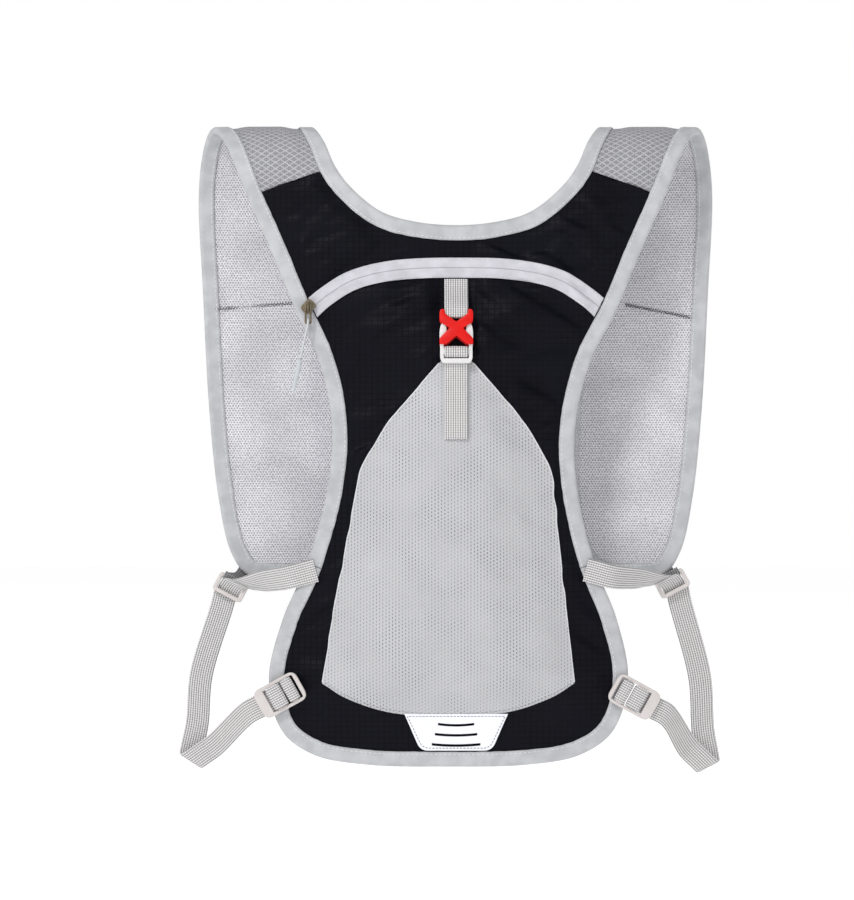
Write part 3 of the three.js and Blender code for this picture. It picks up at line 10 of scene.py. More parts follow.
import bmesh
import bpy
import numpy as np
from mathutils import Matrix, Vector


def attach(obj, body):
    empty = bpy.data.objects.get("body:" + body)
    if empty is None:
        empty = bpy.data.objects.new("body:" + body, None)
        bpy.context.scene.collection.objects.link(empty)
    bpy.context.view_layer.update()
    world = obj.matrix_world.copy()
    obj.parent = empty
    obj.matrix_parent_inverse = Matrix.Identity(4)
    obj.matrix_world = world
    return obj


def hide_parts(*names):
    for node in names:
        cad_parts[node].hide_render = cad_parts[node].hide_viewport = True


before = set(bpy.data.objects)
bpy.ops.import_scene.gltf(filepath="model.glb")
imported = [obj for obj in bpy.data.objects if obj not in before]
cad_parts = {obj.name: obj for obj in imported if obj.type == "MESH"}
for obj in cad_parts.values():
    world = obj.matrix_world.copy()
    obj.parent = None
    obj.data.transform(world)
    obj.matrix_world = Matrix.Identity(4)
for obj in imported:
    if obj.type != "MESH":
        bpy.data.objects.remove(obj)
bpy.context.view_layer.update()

MM = 0.001

# Vest
BACK_LENGTH = 409
HEM_WIDTH = 230
WAIST_WIDTH = 156
SHOULDER_WIDTH = 310
NECK_WIDTH = 184
NECK_DROP = 62.5
FRONT_LENGTH = 290
CHEST_WIDTH = 335
FRONT_OPENING = 142
RADIUS = 27
BACK_BOW = 12
CHEST_BOW = 14
FRONT_TUCK = 14
SIDE_CLOSING = 0.25
HEM_SWING = 6
SWING_START = 0.27

# Layers
PAD_EDGE = 1.4
PAD_THICKNESS = 4
CLOTH = 1
LAYER_GAP = 0.4
SEAM_GAP = 0.3
CLOTH_TOP = LAYER_GAP + CLOTH
PACK_FULLNESS = 12
POCKET_FULLNESS = 3
BINDING_WIDTH = 10
BINDING_WALL = 0.8
PAD_START = BINDING_WIDTH + 4
BINDING_SLOT = CLOTH_TOP + LAYER_GAP
BINDING_TOP = BINDING_SLOT + BINDING_WALL
INSET = BINDING_WALL + BINDING_WIDTH * 0.3
TRIM_BASE = CLOTH_TOP + 0.6
TRIM_TOP = TRIM_BASE + CLOTH
ZIP_DROP = 90
ZIP_SPAN = 200
ZIP_FALL = 34
TAPE_WIDTH = 13
COIL_WIDTH = 2.8
COIL_TOP = TRIM_BASE + 1.9
MOUTH_WIDTH = 5
POCKET_TOP = 150
POCKET_BEND = 218
POCKET_SIDE_DROP = 355
POCKET_DROP = 374
POCKET_BEND_WIDTH = 122
POCKET_BASE_WIDTH = 160
WEBBING_WIDTH = 15
WEBBING_THICKNESS = 1.2
LAYER = WEBBING_THICKNESS / 2 + 0.4
BESIDE = LAYER + 0.15


def smooth(v):
    """Nothing below 0, one above 1, and an S between them."""
    v = np.clip(v, 0, 1)
    return v * v * (3 - 2 * v)


def unit(v):
    """Vectors along the last axis, each divided by its length."""
    return v / np.maximum(np.linalg.norm(v, axis=-1, keepdims=True), 1e-9)


# Lines


def bezier(a, b, c, d, t):
    """Cubic through a and d, drawn towards b and c."""
    a, b, c, d = (np.array(p, float) for p in (a, b, c, d))
    t = t[:, None]
    return a * (1 - t) ** 3 + 3 * b * t * (1 - t) ** 2 + 3 * c * t**2 * (1 - t) + d * t**3


def curve(knots, shares, closed=False):
    """Smooth line through the knots: in each span a cubic whose slopes at the span's ends
    weigh the neighbouring spans by the root of their length."""
    knots = np.asarray(knots, float)
    count = len(knots)
    place = np.asarray(shares, float) * (count if closed else count - 1)
    span = np.floor(place).astype(int)
    if not closed:
        span = np.minimum(span, count - 2)
    t = (place - span)[:, None]
    if closed:
        p0, p1, p2, p3 = (knots[(span + k) % count] for k in (-1, 0, 1, 2))
    else:
        ends = np.vstack([2 * knots[0] - knots[1], knots, 2 * knots[-1] - knots[-2]])
        p0, p1, p2, p3 = (ends[span + k] for k in range(4))

    def root(a, b):
        return np.sqrt(np.maximum(np.linalg.norm(b - a, axis=1, keepdims=True), 1e-8))

    d0, d1, d2 = root(p0, p1), root(p1, p2), root(p2, p3)
    m1 = ((p1 - p0) / d0 - (p2 - p0) / (d0 + d1) + (p2 - p1) / d1) * d1
    m2 = ((p2 - p1) / d1 - (p3 - p1) / (d1 + d2) + (p3 - p2) / d2) * d1
    return (
        p1
        + m1 * t
        + (3 * (p2 - p1) - 2 * m1 - m2) * t**2
        + (2 * (p1 - p2) + m1 + m2) * t**3
    )


def lengths(points):
    """How far along a line of points each point lies."""
    steps = np.linalg.norm(np.diff(points, axis=0), axis=1)
    return np.concatenate([[0], np.cumsum(steps)])


def along(points, shares):
    """Points at the given shares of a line's length."""
    run = lengths(points)
    wanted = np.clip(shares, 0, 1) * run[-1]
    return np.stack([np.interp(wanted, run, points[:, k]) for k in range(points.shape[1])], -1)


def shifted(points, distance):
    """The same flat line moved to the left of its own direction."""
    d = unit(np.gradient(points, axis=0))
    return points + distance * np.stack([-d[:, 1], d[:, 0]], -1)


# Pattern


def profile_table():
    """Back leg, half circle over the shoulder, front leg; with the run along all of it."""
    t = np.linspace(0, 1, 2000)
    back = bezier(
        (0, -BACK_LENGTH), (-BACK_BOW, -BACK_LENGTH * 0.7), (0, -BACK_LENGTH * 0.35),
        (0, -RADIUS), t,
    )
    angle = np.pi * (1 - t)
    roll = np.stack([RADIUS + RADIUS * np.cos(angle), RADIUS * np.sin(angle) - RADIUS], -1)
    front = bezier(
        (2 * RADIUS, -RADIUS), (2 * RADIUS, -FRONT_LENGTH * 0.3),
        (2 * RADIUS + CHEST_BOW, -FRONT_LENGTH * 0.6),
        (2 * RADIUS - FRONT_TUCK, -FRONT_LENGTH), t,
    )
    points = np.vstack([back, roll[1:], front[1:]])
    return points, lengths(points)


PROFILE, PROFILE_RUN = profile_table()
SHOULDER = int(np.argmax(PROFILE[:, 1]))
SHOULDER_S = PROFILE_RUN[SHOULDER]


def s_at(leg, drop):
    """The s at which a leg of the profile lies so far below the shoulders' top."""
    if leg == "back":
        z, s = PROFILE[: SHOULDER + 1, 1], PROFILE_RUN[: SHOULDER + 1]
        return np.interp(-np.asarray(drop, float), z, s)
    z, s = -PROFILE[SHOULDER:, 1], PROFILE_RUN[SHOULDER:]
    return np.interp(np.asarray(drop, float), z, s)


def on_base(x, s):
    """Pattern to space: the profile at s, its depth closed a little towards the sides."""
    x, s = np.broadcast_arrays(np.asarray(x, float), np.asarray(s, float))
    depth = np.interp(s, PROFILE_RUN, PROFILE[:, 0])
    height = np.interp(s, PROFILE_RUN, PROFILE[:, 1])
    closing = 1 - SIDE_CLOSING * (x / (SHOULDER_WIDTH / 2)) ** 2
    return np.stack([x, (depth - RADIUS) * closing, height], -1)


def normal_at(x, s):
    """Outward normal: across the pattern by along it."""
    across = on_base(x + 1, s) - on_base(x - 1, s)
    up = on_base(x, s + 1) - on_base(x, s - 1)
    return unit(np.cross(across, up))


def laid(x, s, n):
    """Point of the pattern lifted by n off it."""
    x, s = np.asarray(x, float), np.asarray(s, float)
    return on_base(x, s) + normal_at(x, s) * np.asarray(n, float)[..., None]


# Right half of the outline: leg, width, share of its half across, length, share of it down
OUTLINE = [
    ("back", HEM_WIDTH, 0, BACK_LENGTH, 1, "hem"),
    ("back", HEM_WIDTH, 0.45, BACK_LENGTH, 0.997, ""),
    ("back", HEM_WIDTH, 0.74, BACK_LENGTH, 0.982, ""),
    ("back", HEM_WIDTH, 0.92, BACK_LENGTH, 0.945, "corner"),
    ("back", HEM_WIDTH, 1, BACK_LENGTH, 0.865, ""),
    ("back", HEM_WIDTH, 0.93, BACK_LENGTH, 0.77, ""),
    ("back", WAIST_WIDTH, 1.18, BACK_LENGTH, 0.682, "tie"),
    ("back", WAIST_WIDTH, 1.02, BACK_LENGTH, 0.56, ""),
    ("back", WAIST_WIDTH, 1, BACK_LENGTH, 0.465, ""),
    ("back", WAIST_WIDTH, 1.11, BACK_LENGTH, 0.368, ""),
    ("back", SHOULDER_WIDTH, 0.667, BACK_LENGTH, 0.282, "zip"),
    ("back", SHOULDER_WIDTH, 0.768, BACK_LENGTH, 0.19, ""),
    ("back", SHOULDER_WIDTH, 0.862, BACK_LENGTH, 0.109, "seam"),
    ("back", SHOULDER_WIDTH, 0.942, BACK_LENGTH, 0.034, ""),
    ("back", SHOULDER_WIDTH, 1.016, BACK_LENGTH, 0, ""),
    ("front", CHEST_WIDTH, 0.985, FRONT_LENGTH, 0.05, ""),
    ("front", CHEST_WIDTH, 1, FRONT_LENGTH, 0.14, ""),
    ("front", CHEST_WIDTH, 0.985, FRONT_LENGTH, 0.35, ""),
    ("front", CHEST_WIDTH, 0.96, FRONT_LENGTH, 0.62, ""),
    ("front", CHEST_WIDTH, 0.922, FRONT_LENGTH, 0.82, ""),
    ("front", CHEST_WIDTH, 0.873, FRONT_LENGTH, 0.94, ""),
    ("front", CHEST_WIDTH, 0.81, FRONT_LENGTH, 0.991, "tip"),
    ("front", CHEST_WIDTH, 0.72, FRONT_LENGTH, 1, ""),
    ("front", FRONT_OPENING, 1.29, FRONT_LENGTH, 0.99, ""),
    ("front", FRONT_OPENING, 1.11, FRONT_LENGTH, 0.94, "foot"),
    ("front", FRONT_OPENING, 1, FRONT_LENGTH, 0.8, ""),
    ("front", FRONT_OPENING, 1.02, FRONT_LENGTH, 0.6, ""),
    ("front", NECK_WIDTH, 0.89, FRONT_LENGTH, 0.35, ""),
    ("front", NECK_WIDTH, 0.975, FRONT_LENGTH, 0.14, ""),
    ("back", NECK_WIDTH, 0.998, BACK_LENGTH, 0, ""),
    ("back", NECK_WIDTH, 0.9, NECK_DROP, 0.2, ""),
    ("back", NECK_WIDTH, 0.845, NECK_DROP, 0.384, "neck seam"),
    ("back", NECK_WIDTH, 0.745, NECK_DROP, 0.59, ""),
    ("back", NECK_WIDTH, 0.52, NECK_DROP, 0.86, ""),
    ("back", NECK_WIDTH, 0.28, NECK_DROP, 0.965, ""),
    ("back", NECK_WIDTH, 0, NECK_DROP, 1, "neck"),
]


def swing_at(drop):
    """How far the pack leans to the left at a drop."""
    return HEM_SWING * max(0, drop / BACK_LENGTH - SWING_START) / (1 - SWING_START)


def outline_knot(row, side):
    """Pattern point of an outline row on one side."""
    leg, width, across, deep, down, _ = row
    drop = deep * down
    return [side * across * width / 2 - (swing_at(drop) if leg == "back" else 0),
            float(s_at(leg, drop))]


RING_SUB = 24
ring_knots = [outline_knot(row, 1) for row in OUTLINE]
ring_knots += [outline_knot(row, -1) for row in OUTLINE[-2:0:-1]]
RING_COUNT = len(ring_knots) * RING_SUB
RING = curve(ring_knots, np.arange(RING_COUNT) / RING_COUNT, closed=True)
ring_heading = unit(np.roll(RING, -1, 0) - np.roll(RING, 1, 0))
RING_INWARD = np.stack([-ring_heading[:, 1], ring_heading[:, 0]], -1)
MARKS = {row[5]: i * RING_SUB for i, row in enumerate(OUTLINE) if row[5]}


def edge(side, start, end, inset=0.0):
    """Stretch of the outline between two marks of one side, drawn in by inset."""
    a, b = side * MARKS[start], side * MARKS[end]
    index = np.arange(a, b + np.sign(b - a), np.sign(b - a)) % RING_COUNT
    return RING[index] + RING_INWARD[index] * inset


def nearest(points, line):
    """Distance from each flat point to a flat line of points, by its closest segment."""
    a, d = line[:-1], np.diff(line, axis=0)
    square = np.maximum((d * d).sum(1), 1e-12)
    flat = points.reshape(-1, 2)
    found = []
    for part in np.array_split(flat, max(1, len(flat) // 20000)):
        t = ((part[:, None] - a) * d).sum(-1) / square
        gap = part[:, None] - a - np.clip(t, 0, 1)[..., None] * d
        found.append(np.sqrt((gap * gap).sum(-1).min(1)))
    return np.concatenate(found).reshape(points.shape[:-1])


RIM = np.vstack([RING[::6], RING[:1]])
EDGE_STEP = 2.0
edge_xs = np.arange(-176, 178, EDGE_STEP)
edge_ss = np.arange(0, PROFILE_RUN[-1] + 4, EDGE_STEP)
EDGE_MAP = nearest(np.stack(np.meshgrid(edge_xs, edge_ss), -1), RIM)


def edge_distance(x, s):
    """How far inside the vest's edge a point lies, read from a map with linear blending."""
    px = np.clip((x - edge_xs[0]) / EDGE_STEP, 0, len(edge_xs) - 1.001)
    ps = np.clip((s - edge_ss[0]) / EDGE_STEP, 0, len(edge_ss) - 1.001)
    i, j = px.astype(int), ps.astype(int)
    u, v = px - i, ps - j
    low = EDGE_MAP[j, i] * (1 - u) + EDGE_MAP[j, i + 1] * u
    high = EDGE_MAP[j + 1, i] * (1 - u) + EDGE_MAP[j + 1, i + 1] * u
    return low * (1 - v) + high * v


ZIP_S = float(s_at("back", ZIP_DROP))


def fullness(x, s):
    """Height of the pack's outer cloth: none along the edges and over the zip."""
    rim = smooth((edge_distance(x, s) - PAD_START) / 60)
    return PACK_FULLNESS * rim * smooth((ZIP_S + 18 - s) / 72)


ZIP_LINE = [(1, 1), (0.92, 0.76), (0.81, 0.5), (0.66, 0.24), (0.42, 0.06)]
zip_rows = [(-a, f) for a, f in ZIP_LINE] + [(0, 0)] + ZIP_LINE[::-1]
ZIP_WHOLE = along(
    curve(
        [(a * ZIP_SPAN / 2, float(s_at("back", ZIP_DROP + ZIP_FALL * f))) for a, f in zip_rows],
        np.linspace(0, 1, 800),
    ),
    np.linspace(0, 1, 800),
)


def zip_line(clear, shift=0.0):
    """The zip's line moved by shift and cut where it comes so near the vest's edge."""
    line = shifted(ZIP_WHOLE, shift)
    inside = nearest(line, RIM) >= clear
    middle = len(line) // 2
    first = np.nonzero(~inside[:middle])[0]
    last = np.nonzero(~inside[middle:])[0]
    start = first[-1] + 1 if len(first) else 0
    end = middle + last[0] if len(last) else len(line)
    return line[start:end]


def patch(bottom, top, left, right, us, vs, top_fits=False):
    """Coons patch: the four border lines blended, less the blend of their corners. A top
    that fits already has one point for each column."""
    u, v = np.asarray(us)[None, :, None], np.asarray(vs)[:, None, None]
    b, t = along(bottom, us)[None], (top if top_fits else along(top, us))[None]
    lo, hi = along(left, vs)[:, None], along(right, vs)[:, None]
    corners = (1 - u) * (1 - v) * b[:, :1] + u * (1 - v) * b[:, -1:]
    corners = corners + (1 - u) * v * t[:, :1] + u * v * t[:, -1:]
    return (1 - v) * b + v * t + (1 - u) * lo + u * hi - corners


def ramp(*stops):
    """Shares that run evenly between stops, each stop given as (share, steps to it)."""
    parts = [np.array([stops[0][0]])]
    for (a, _), (b, steps) in zip(stops, stops[1:]):
        parts.append(np.linspace(a, b, steps + 1)[1:])
    return np.concatenate(parts)


# Soft noise


def noise(x, y, scale, seed, turn=0.0, stretch=1.0):
    """Smooth random heights from -1 to 1: a seeded lattice blended by S curves. The lattice
    may be turned and drawn out along its own x."""
    c, s = math.cos(turn), math.sin(turn)
    px = (x * c + y * s) / (scale * stretch)
    py = (y * c - x * s) / scale
    lattice = np.random.default_rng(seed).uniform(-1, 1, (64, 64))
    i, j = np.floor(px).astype(int), np.floor(py).astype(int)
    u, v = smooth(px - i), smooth(py - j)
    a, b = lattice[j % 64, i % 64], lattice[j % 64, (i + 1) % 64]
    c2, d = lattice[(j + 1) % 64, i % 64], lattice[(j + 1) % 64, (i + 1) % 64]
    return (a * (1 - u) + b * u) * (1 - v) + (c2 * (1 - u) + d * u) * v


# Meshes


def linked(name, data):
    """New object of the scene."""
    made = bpy.data.objects.new(name, data)
    bpy.context.scene.collection.objects.link(made)
    return made


def set_pattern(mesh, flat):
    """The mesh's uv map, from one flat point in millimetres for each vertex."""
    layer = mesh.uv_layers.new(name="pattern")
    corner = np.empty(len(mesh.loops), int)
    mesh.loops.foreach_get("vertex_index", corner)
    layer.data.foreach_set("uv", (flat[corner] * MM).ravel())


def shade_smooth(mesh, sharp_from=None):
    """Smooth shading, with sharp edges from an angle in degrees on, where one is given."""
    mesh.polygons.foreach_set("use_smooth", [True] * len(mesh.polygons))
    if sharp_from:
        mesh.set_sharp_from_angle(angle=math.radians(sharp_from))


def piece(name, points, faces, uv=None):
    """Mesh object from points in millimetres; uv holds one flat point for each vertex."""
    mesh = bpy.data.meshes.new(name)
    faces = faces if isinstance(faces, list) else faces.tolist()
    mesh.from_pydata((points.reshape(-1, 3) * MM).tolist(), [], faces)
    if uv is not None:
        set_pattern(mesh, uv)
    shade_smooth(mesh)
    mesh.update()
    return linked(name, mesh)


def grid_faces(rows, columns, start=0, flip=False, wrap=False):
    """Squares between the rows of a grid of vertices; wrap joins its last column to its
    first."""
    j, i = np.meshgrid(np.arange(rows - 1), np.arange(columns - (not wrap)), indexing="ij")
    k = (i + 1) % columns
    quads = np.stack([j * columns + i, j * columns + k, (j + 1) * columns + k,
                      (j + 1) * columns + i], -1).reshape(-1, 4) + start
    return quads[:, ::-1] if flip else quads


def slab(top, under):
    """Closed body between two grids: top faces outwards, walls join their borders."""
    rows, columns = top.shape[:2]
    half = rows * columns
    ids = np.arange(half).reshape(rows, columns)
    rim = np.concatenate([ids[0], ids[1:, -1], ids[-1, -2::-1], ids[-2:0:-1, 0]])
    after = np.roll(rim, -1)
    walls = np.stack([rim, rim + half, after + half, after], -1)
    faces = np.vstack([grid_faces(rows, columns), grid_faces(rows, columns, half, True), walls])
    return np.vstack([top.reshape(-1, 3), under.reshape(-1, 3)]), faces


def layer_piece(name, top, under, uv):
    """Closed body between two grids, both with the same grid of flat points as their uv."""
    flat = uv.reshape(-1, 2)
    return piece(name, *slab(top, under), np.vstack([flat, flat]))


def cloth_piece(name, grid, low, high):
    """Cloth over a grid of the pattern, between two heights; its uv is the pattern."""
    x, s = grid[..., 0], grid[..., 1]
    return layer_piece(name, laid(x, s, high), laid(x, s, low), grid)


def band_uv(across, run):
    """Grid of flat points from places across a band and the run along it."""
    return np.stack(np.broadcast_arrays(across, run), -1)


def sweep(path, radius, sides, reference):
    """Tube about a path: at each point a circle square to the path, counted from the
    reference direction; radius is one number or one for each point. A fan closes each end."""
    path = np.asarray(path, float)
    heading = unit(np.gradient(path, axis=0))
    reference = np.broadcast_to(np.asarray(reference, float), path.shape)
    first = unit(reference - heading * (reference * heading).sum(-1, keepdims=True))
    second = np.cross(heading, first)
    angle = np.linspace(0, 2 * np.pi, sides + 1)[:-1]
    ring = first[:, None] * np.cos(angle)[:, None] + second[:, None] * np.sin(angle)[:, None]
    radius = np.broadcast_to(np.asarray(radius, float), len(path))[:, None, None]
    points = path[:, None] + ring * radius
    faces = grid_faces(len(path), sides, wrap=True)
    count = len(path) * sides
    ends = []
    for row, tip, order in ((0, count, -1), (len(path) - 1, count + 1, 1)):
        ids = row * sides + np.arange(sides)
        pair = [ids, np.roll(ids, -1)][::order]
        ends += np.stack([*pair, np.full(sides, tip)], -1).tolist()
    points = np.vstack([points.reshape(-1, 3), path[:1], path[-1:]])
    run = lengths(path)
    uv = band_uv(angle[None] / np.pi, run[:, None]).reshape(-1, 2)
    return points, faces.tolist() + ends, np.vstack([uv, [0, 0], [0, run[-1]]])


def tube_piece(name, path, radius, sides, reference):
    """Mesh object of a tube about a path in millimetres."""
    return piece(name, *sweep(path, radius, sides, reference))


# Frames


def frame_from(origin, across, up):
    """Square frame: columns across, up and out, and its origin."""
    out = unit(np.cross(across, up))
    made = np.eye(4)
    made[:3, 0], made[:3, 1], made[:3, 2] = across, np.cross(out, across), out
    made[:3, 3] = origin
    return made


REACH = 12


def cloth_frame(x, s, n):
    """Frame on the outer cloth, its directions taken over a short reach."""
    def at(dx, ds):
        return laid(x + dx, s + ds, n + fullness(np.array(x + dx), np.array(s + ds)))

    across = unit(at(REACH, 0) - at(-REACH, 0))
    return frame_from(at(0, 0), across, unit(at(0, REACH) - at(0, -REACH)))


def turned(place, degrees):
    """Frame turned about its own out direction."""
    c, s = math.cos(math.radians(degrees)), math.sin(math.radians(degrees))
    turn = np.eye(4)
    turn[:2, :2] = [[c, -s], [s, c]]
    return place @ turn


def in_frame(place, points):
    """Local points in the frame of the whole part."""
    points = np.asarray(points, float)
    return points @ place[:3, :3].T + place[:3, 3]


# Camera

camera = linked("camera", bpy.data.cameras.new("camera"))
camera.location = (-0.0186, -2.427, -0.2064)
camera.rotation_euler = (math.pi / 2, 0, 0)
camera.data.sensor_fit = "HORIZONTAL"
camera.data.sensor_width = 36
camera.data.lens = 158.07
bpy.context.scene.camera = camera

# Zip slider's place and the free cord

SLIDER_AT = 0.94
SLIDER_FALL = 25
SLIDER_HEIGHT = 2.6
BRIDGE_SPAN = 6.4
BRIDGE_WIDTH = 1.2
TAB_LENGTH = 13
TAB_WIRE = 1.2
CORD_DIAMETER = 1.5
CORD_DROP = 23
CORD_END_LENGTH = 22
CORD_END_DIAMETER = 3.4
CORD_LEAN = 0.22
slider_frame = cloth_frame(
    -ZIP_SPAN / 2 * SLIDER_AT, float(s_at("back", ZIP_DROP + SLIDER_FALL)),
    COIL_TOP + LAYER_GAP + SLIDER_HEIGHT / 2,
)
TAB_Z = SLIDER_HEIGHT / 2 + LAYER_GAP + TAB_WIRE / 2
TAB_TOP = BRIDGE_SPAN / 2 - BRIDGE_WIDTH - 0.3
tab_foot = in_frame(slider_frame, [0, TAB_TOP - TAB_LENGTH + TAB_WIRE / 2, TAB_Z])
cord_down = unit(np.array([-CORD_LEAN, 0, -1.0]))
cord_round = CORD_DIAMETER / 2 + TAB_WIRE * 0.8 + LAYER_GAP


def cord_at(run, depth):
    """Point of the pull cord: run down it from the tab's bar, and depth behind its middle."""
    return tab_foot + cord_down * max(run, 0) + np.array([0, depth, max(-run, 0)])


strand = CORD_DIAMETER / 2 + 0.15
cord_rows = [(CORD_DROP, -strand), (CORD_DROP * 0.5, -strand - 0.3), (0, -cord_round)]
cord_knots = [cord_at(*row) for row in cord_rows] + [cord_at(-cord_round, 0)]
cord_knots += [cord_at(run, -depth) for run, depth in cord_rows[::-1]]
cord_line = curve(cord_knots, np.linspace(0, 1, 73))
cord_path = (cord_line * MM).tolist()
pull_cord = tube_piece("pull_cord", cord_line, CORD_DIAMETER / 2, 14, (1, 0, 0))
end_shares = np.array([0, 0.02, 0.06, 0.14, 0.26, 0.5, 0.75, 0.88, 0.95, 0.985, 1])
end_widths = np.array([0.42, 0.62, 0.82, 0.95, 1, 0.95, 0.87, 0.8, 0.68, 0.5, 0.36])
end_line = cord_at(CORD_DROP + 0.3, 0) + cord_down * (end_shares * CORD_END_LENGTH)[:, None]
pull_end = tube_piece("pull_end", end_line, end_widths * CORD_END_DIAMETER / 2, 20, (0, 1, 0))
for made, node, slot in ((pull_cord, "zip_cord", "cord"), (pull_end, "zip_cord_end", "cord_end")):
    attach(made, "root")
    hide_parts(node)


# Materials


class Value:
    """A number in a material, on which Python's operators add Math nodes."""

    def __init__(self, finish, socket):
        self.finish, self.socket = finish, socket

    def __add__(self, other):
        return self.finish.math("ADD", self, other)

    def __radd__(self, other):
        return self.finish.math("ADD", other, self)

    def __sub__(self, other):
        return self.finish.math("SUBTRACT", self, other)

    def __rsub__(self, other):
        return self.finish.math("SUBTRACT", other, self)

    def __mul__(self, other):
        return self.finish.math("MULTIPLY", self, other)

    def __rmul__(self, other):
        return self.finish.math("MULTIPLY", other, self)

    def __truediv__(self, other):
        return self.finish.math("DIVIDE", self, other)


class Finish:
    """A material with one principled shader, whose constant sockets are set directly."""

    def __init__(self, name, **constant):
        self.material = bpy.data.materials.new(name)
        self.material.use_nodes = True
        self.tree = self.material.node_tree
        self.shader = self.tree.nodes["Principled BSDF"]
        for key, value in constant.items():
            self.shader.inputs[key.replace("_", " ")].default_value = value

    def node(self, kind, settings=None, **inputs):
        """New node: settings first, then its sockets by name or by i0, i1 for a place."""
        made = self.tree.nodes.new(kind)
        for key, value in (settings or {}).items():
            setattr(made, key, value)
        for key, value in inputs.items():
            place = int(key[1:]) if key[1:].isdigit() else key.replace("_", " ")
            self.feed(made.inputs[place], value)
        return made

    def feed(self, socket, value):
        """Links a worked-out value to a socket, or sets a constant there."""
        if isinstance(value, Value):
            self.tree.links.new(value.socket, socket)
        else:
            socket.default_value = value

    def math(self, operation, *values):
        """Math node fed with the values in their order."""
        inputs = {f"i{k}": value for k, value in enumerate(values)}
        made = self.node("ShaderNodeMath", {"operation": operation}, **inputs)
        return Value(self, made.outputs[0])

    def pattern(self):
        """The piece's own two pattern coordinates, in millimetres."""
        uv = self.node("ShaderNodeUVMap", {"uv_map": "pattern"})
        self.place = self.scaled(Value(self, uv.outputs[0]), 1 / MM)
        return self.split(self.place)[:2]

    def solid(self):
        """Object coordinates, in millimetres."""
        place = self.node("ShaderNodeTexCoord")
        self.place = self.scaled(Value(self, place.outputs["Object"]), 1 / MM)
        return self.split(self.place)

    def scaled(self, vector, factor):
        """Vector times a number."""
        made = self.node("ShaderNodeVectorMath", {"operation": "SCALE"}, i0=vector, Scale=factor)
        return Value(self, made.outputs[0])

    def split(self, vector):
        """The vector's three parts."""
        parts = self.node("ShaderNodeSeparateXYZ", i0=vector)
        return [Value(self, out) for out in parts.outputs]

    def wave(self, value, pitch):
        """From 0 to 1 and back within each pitch."""
        return self.math("SINE", value * (2 * math.pi / pitch)) * 0.5 + 0.5

    def step(self, value, low, high):
        """Nothing below low, one above high, and an S between them."""
        made = self.node("ShaderNodeMapRange", {"interpolation_type": "SMOOTHSTEP"},
                         Value=value, From_Min=low, From_Max=high)
        return Value(self, made.outputs[0])

    def noise(self, size, detail=2.0):
        """Soft noise from 0 to 1 with lumps of about the given size in millimetres."""
        made = self.node("ShaderNodeTexNoise", Vector=self.place, Scale=1 / size, Detail=detail)
        return Value(self, made.outputs[0])

    def mix(self, factor, low, high):
        """Colour between two colours."""
        made = self.tree.nodes.new("ShaderNodeMix")
        made.data_type = "RGBA"
        low, high = (c if isinstance(c, Value) else (*c, 1) for c in (low, high))
        for key, value in (("Factor_Float", factor), ("A_Color", low), ("B_Color", high)):
            self.feed(next(s for s in made.inputs if s.identifier == key), value)
        return Value(self, next(s for s in made.outputs if s.identifier == "Result_Color"))

    def colour(self, value):
        """Base colour that varies over the piece."""
        self.feed(self.shader.inputs["Base Color"], value)

    def roughness(self, value):
        """Roughness that varies over the piece."""
        self.feed(self.shader.inputs["Roughness"], value)

    def relief(self, height, depth):
        """Bump from a height of 0 to 1 that stands for depth in millimetres."""
        made = self.node("ShaderNodeBump", Strength=1.0, Distance=depth * MM, Height=height)
        self.tree.links.new(made.outputs[0], self.shader.inputs["Normal"])


def linear(red, green, blue):
    """Linear colour from display values of 0 to 255."""
    def one(v):
        v /= 255
        return v / 12.92 if v <= 0.04045 else ((v + 0.055) / 1.055) ** 2.4

    return one(red), one(green), one(blue)


def ripstop_finish():
    """Black nylon: fine plain weave crossed by a grid of thicker threads."""
    f = Finish("black_ripstop", Roughness=0.5, Specular_IOR_Level=0.1)
    x, s = f.pattern()
    pitch = 0.62
    weave = f.wave(x, pitch) * f.wave(s, pitch)
    thread_x = f.step(f.wave(x, 3.9), 0.9, 0.98)
    thread_s = f.step(f.wave(s, 3.6), 0.9, 0.98)
    thread = f.math("MAXIMUM", thread_x, thread_s)
    faded = f.step(f.noise(42, 2), 0.35, 0.62)
    tone = f.mix(f.noise(60, 3), linear(3, 3, 12), linear(9, 9, 22))
    f.colour(f.mix(thread * (0.35 + 0.65 * faded), tone, linear(2, 2, 4)))
    f.roughness(0.4 + 0.16 * f.noise(9) + 0.1 * thread)
    f.relief(weave * 0.3 - thread * 0.7, 0.12)
    return f.material


def lining_finish():
    """Air mesh: fine ribs across the strap with small staggered eyelets between them."""
    f = Finish("air_mesh_lining", Roughness=0.9, Specular_IOR_Level=0.2)
    x, s = f.pattern()
    pitch = 1.55
    rib = f.wave(s + 0.35 * f.noise(3, 1), pitch)
    row = f.math("FLOOR", s / pitch)
    column = f.wave(x + row * 0.9, 1.8)
    eye = (1 - rib) * f.step(column, 0.2, 0.7)
    speckle = f.noise(1.5, 1)
    cloudy = f.step(f.noise(36, 2), 0.3, 0.7)
    tone = f.mix(cloudy, linear(218, 217, 222), linear(236, 235, 240))
    shade = f.step(eye * 0.6 + speckle * 0.9, 0.35, 1.05)
    f.colour(f.mix(shade * 0.75, tone, linear(112, 112, 119)))
    f.relief(rib * 0.6 + 0.4 * (1 - shade), 0.45)
    return f.material


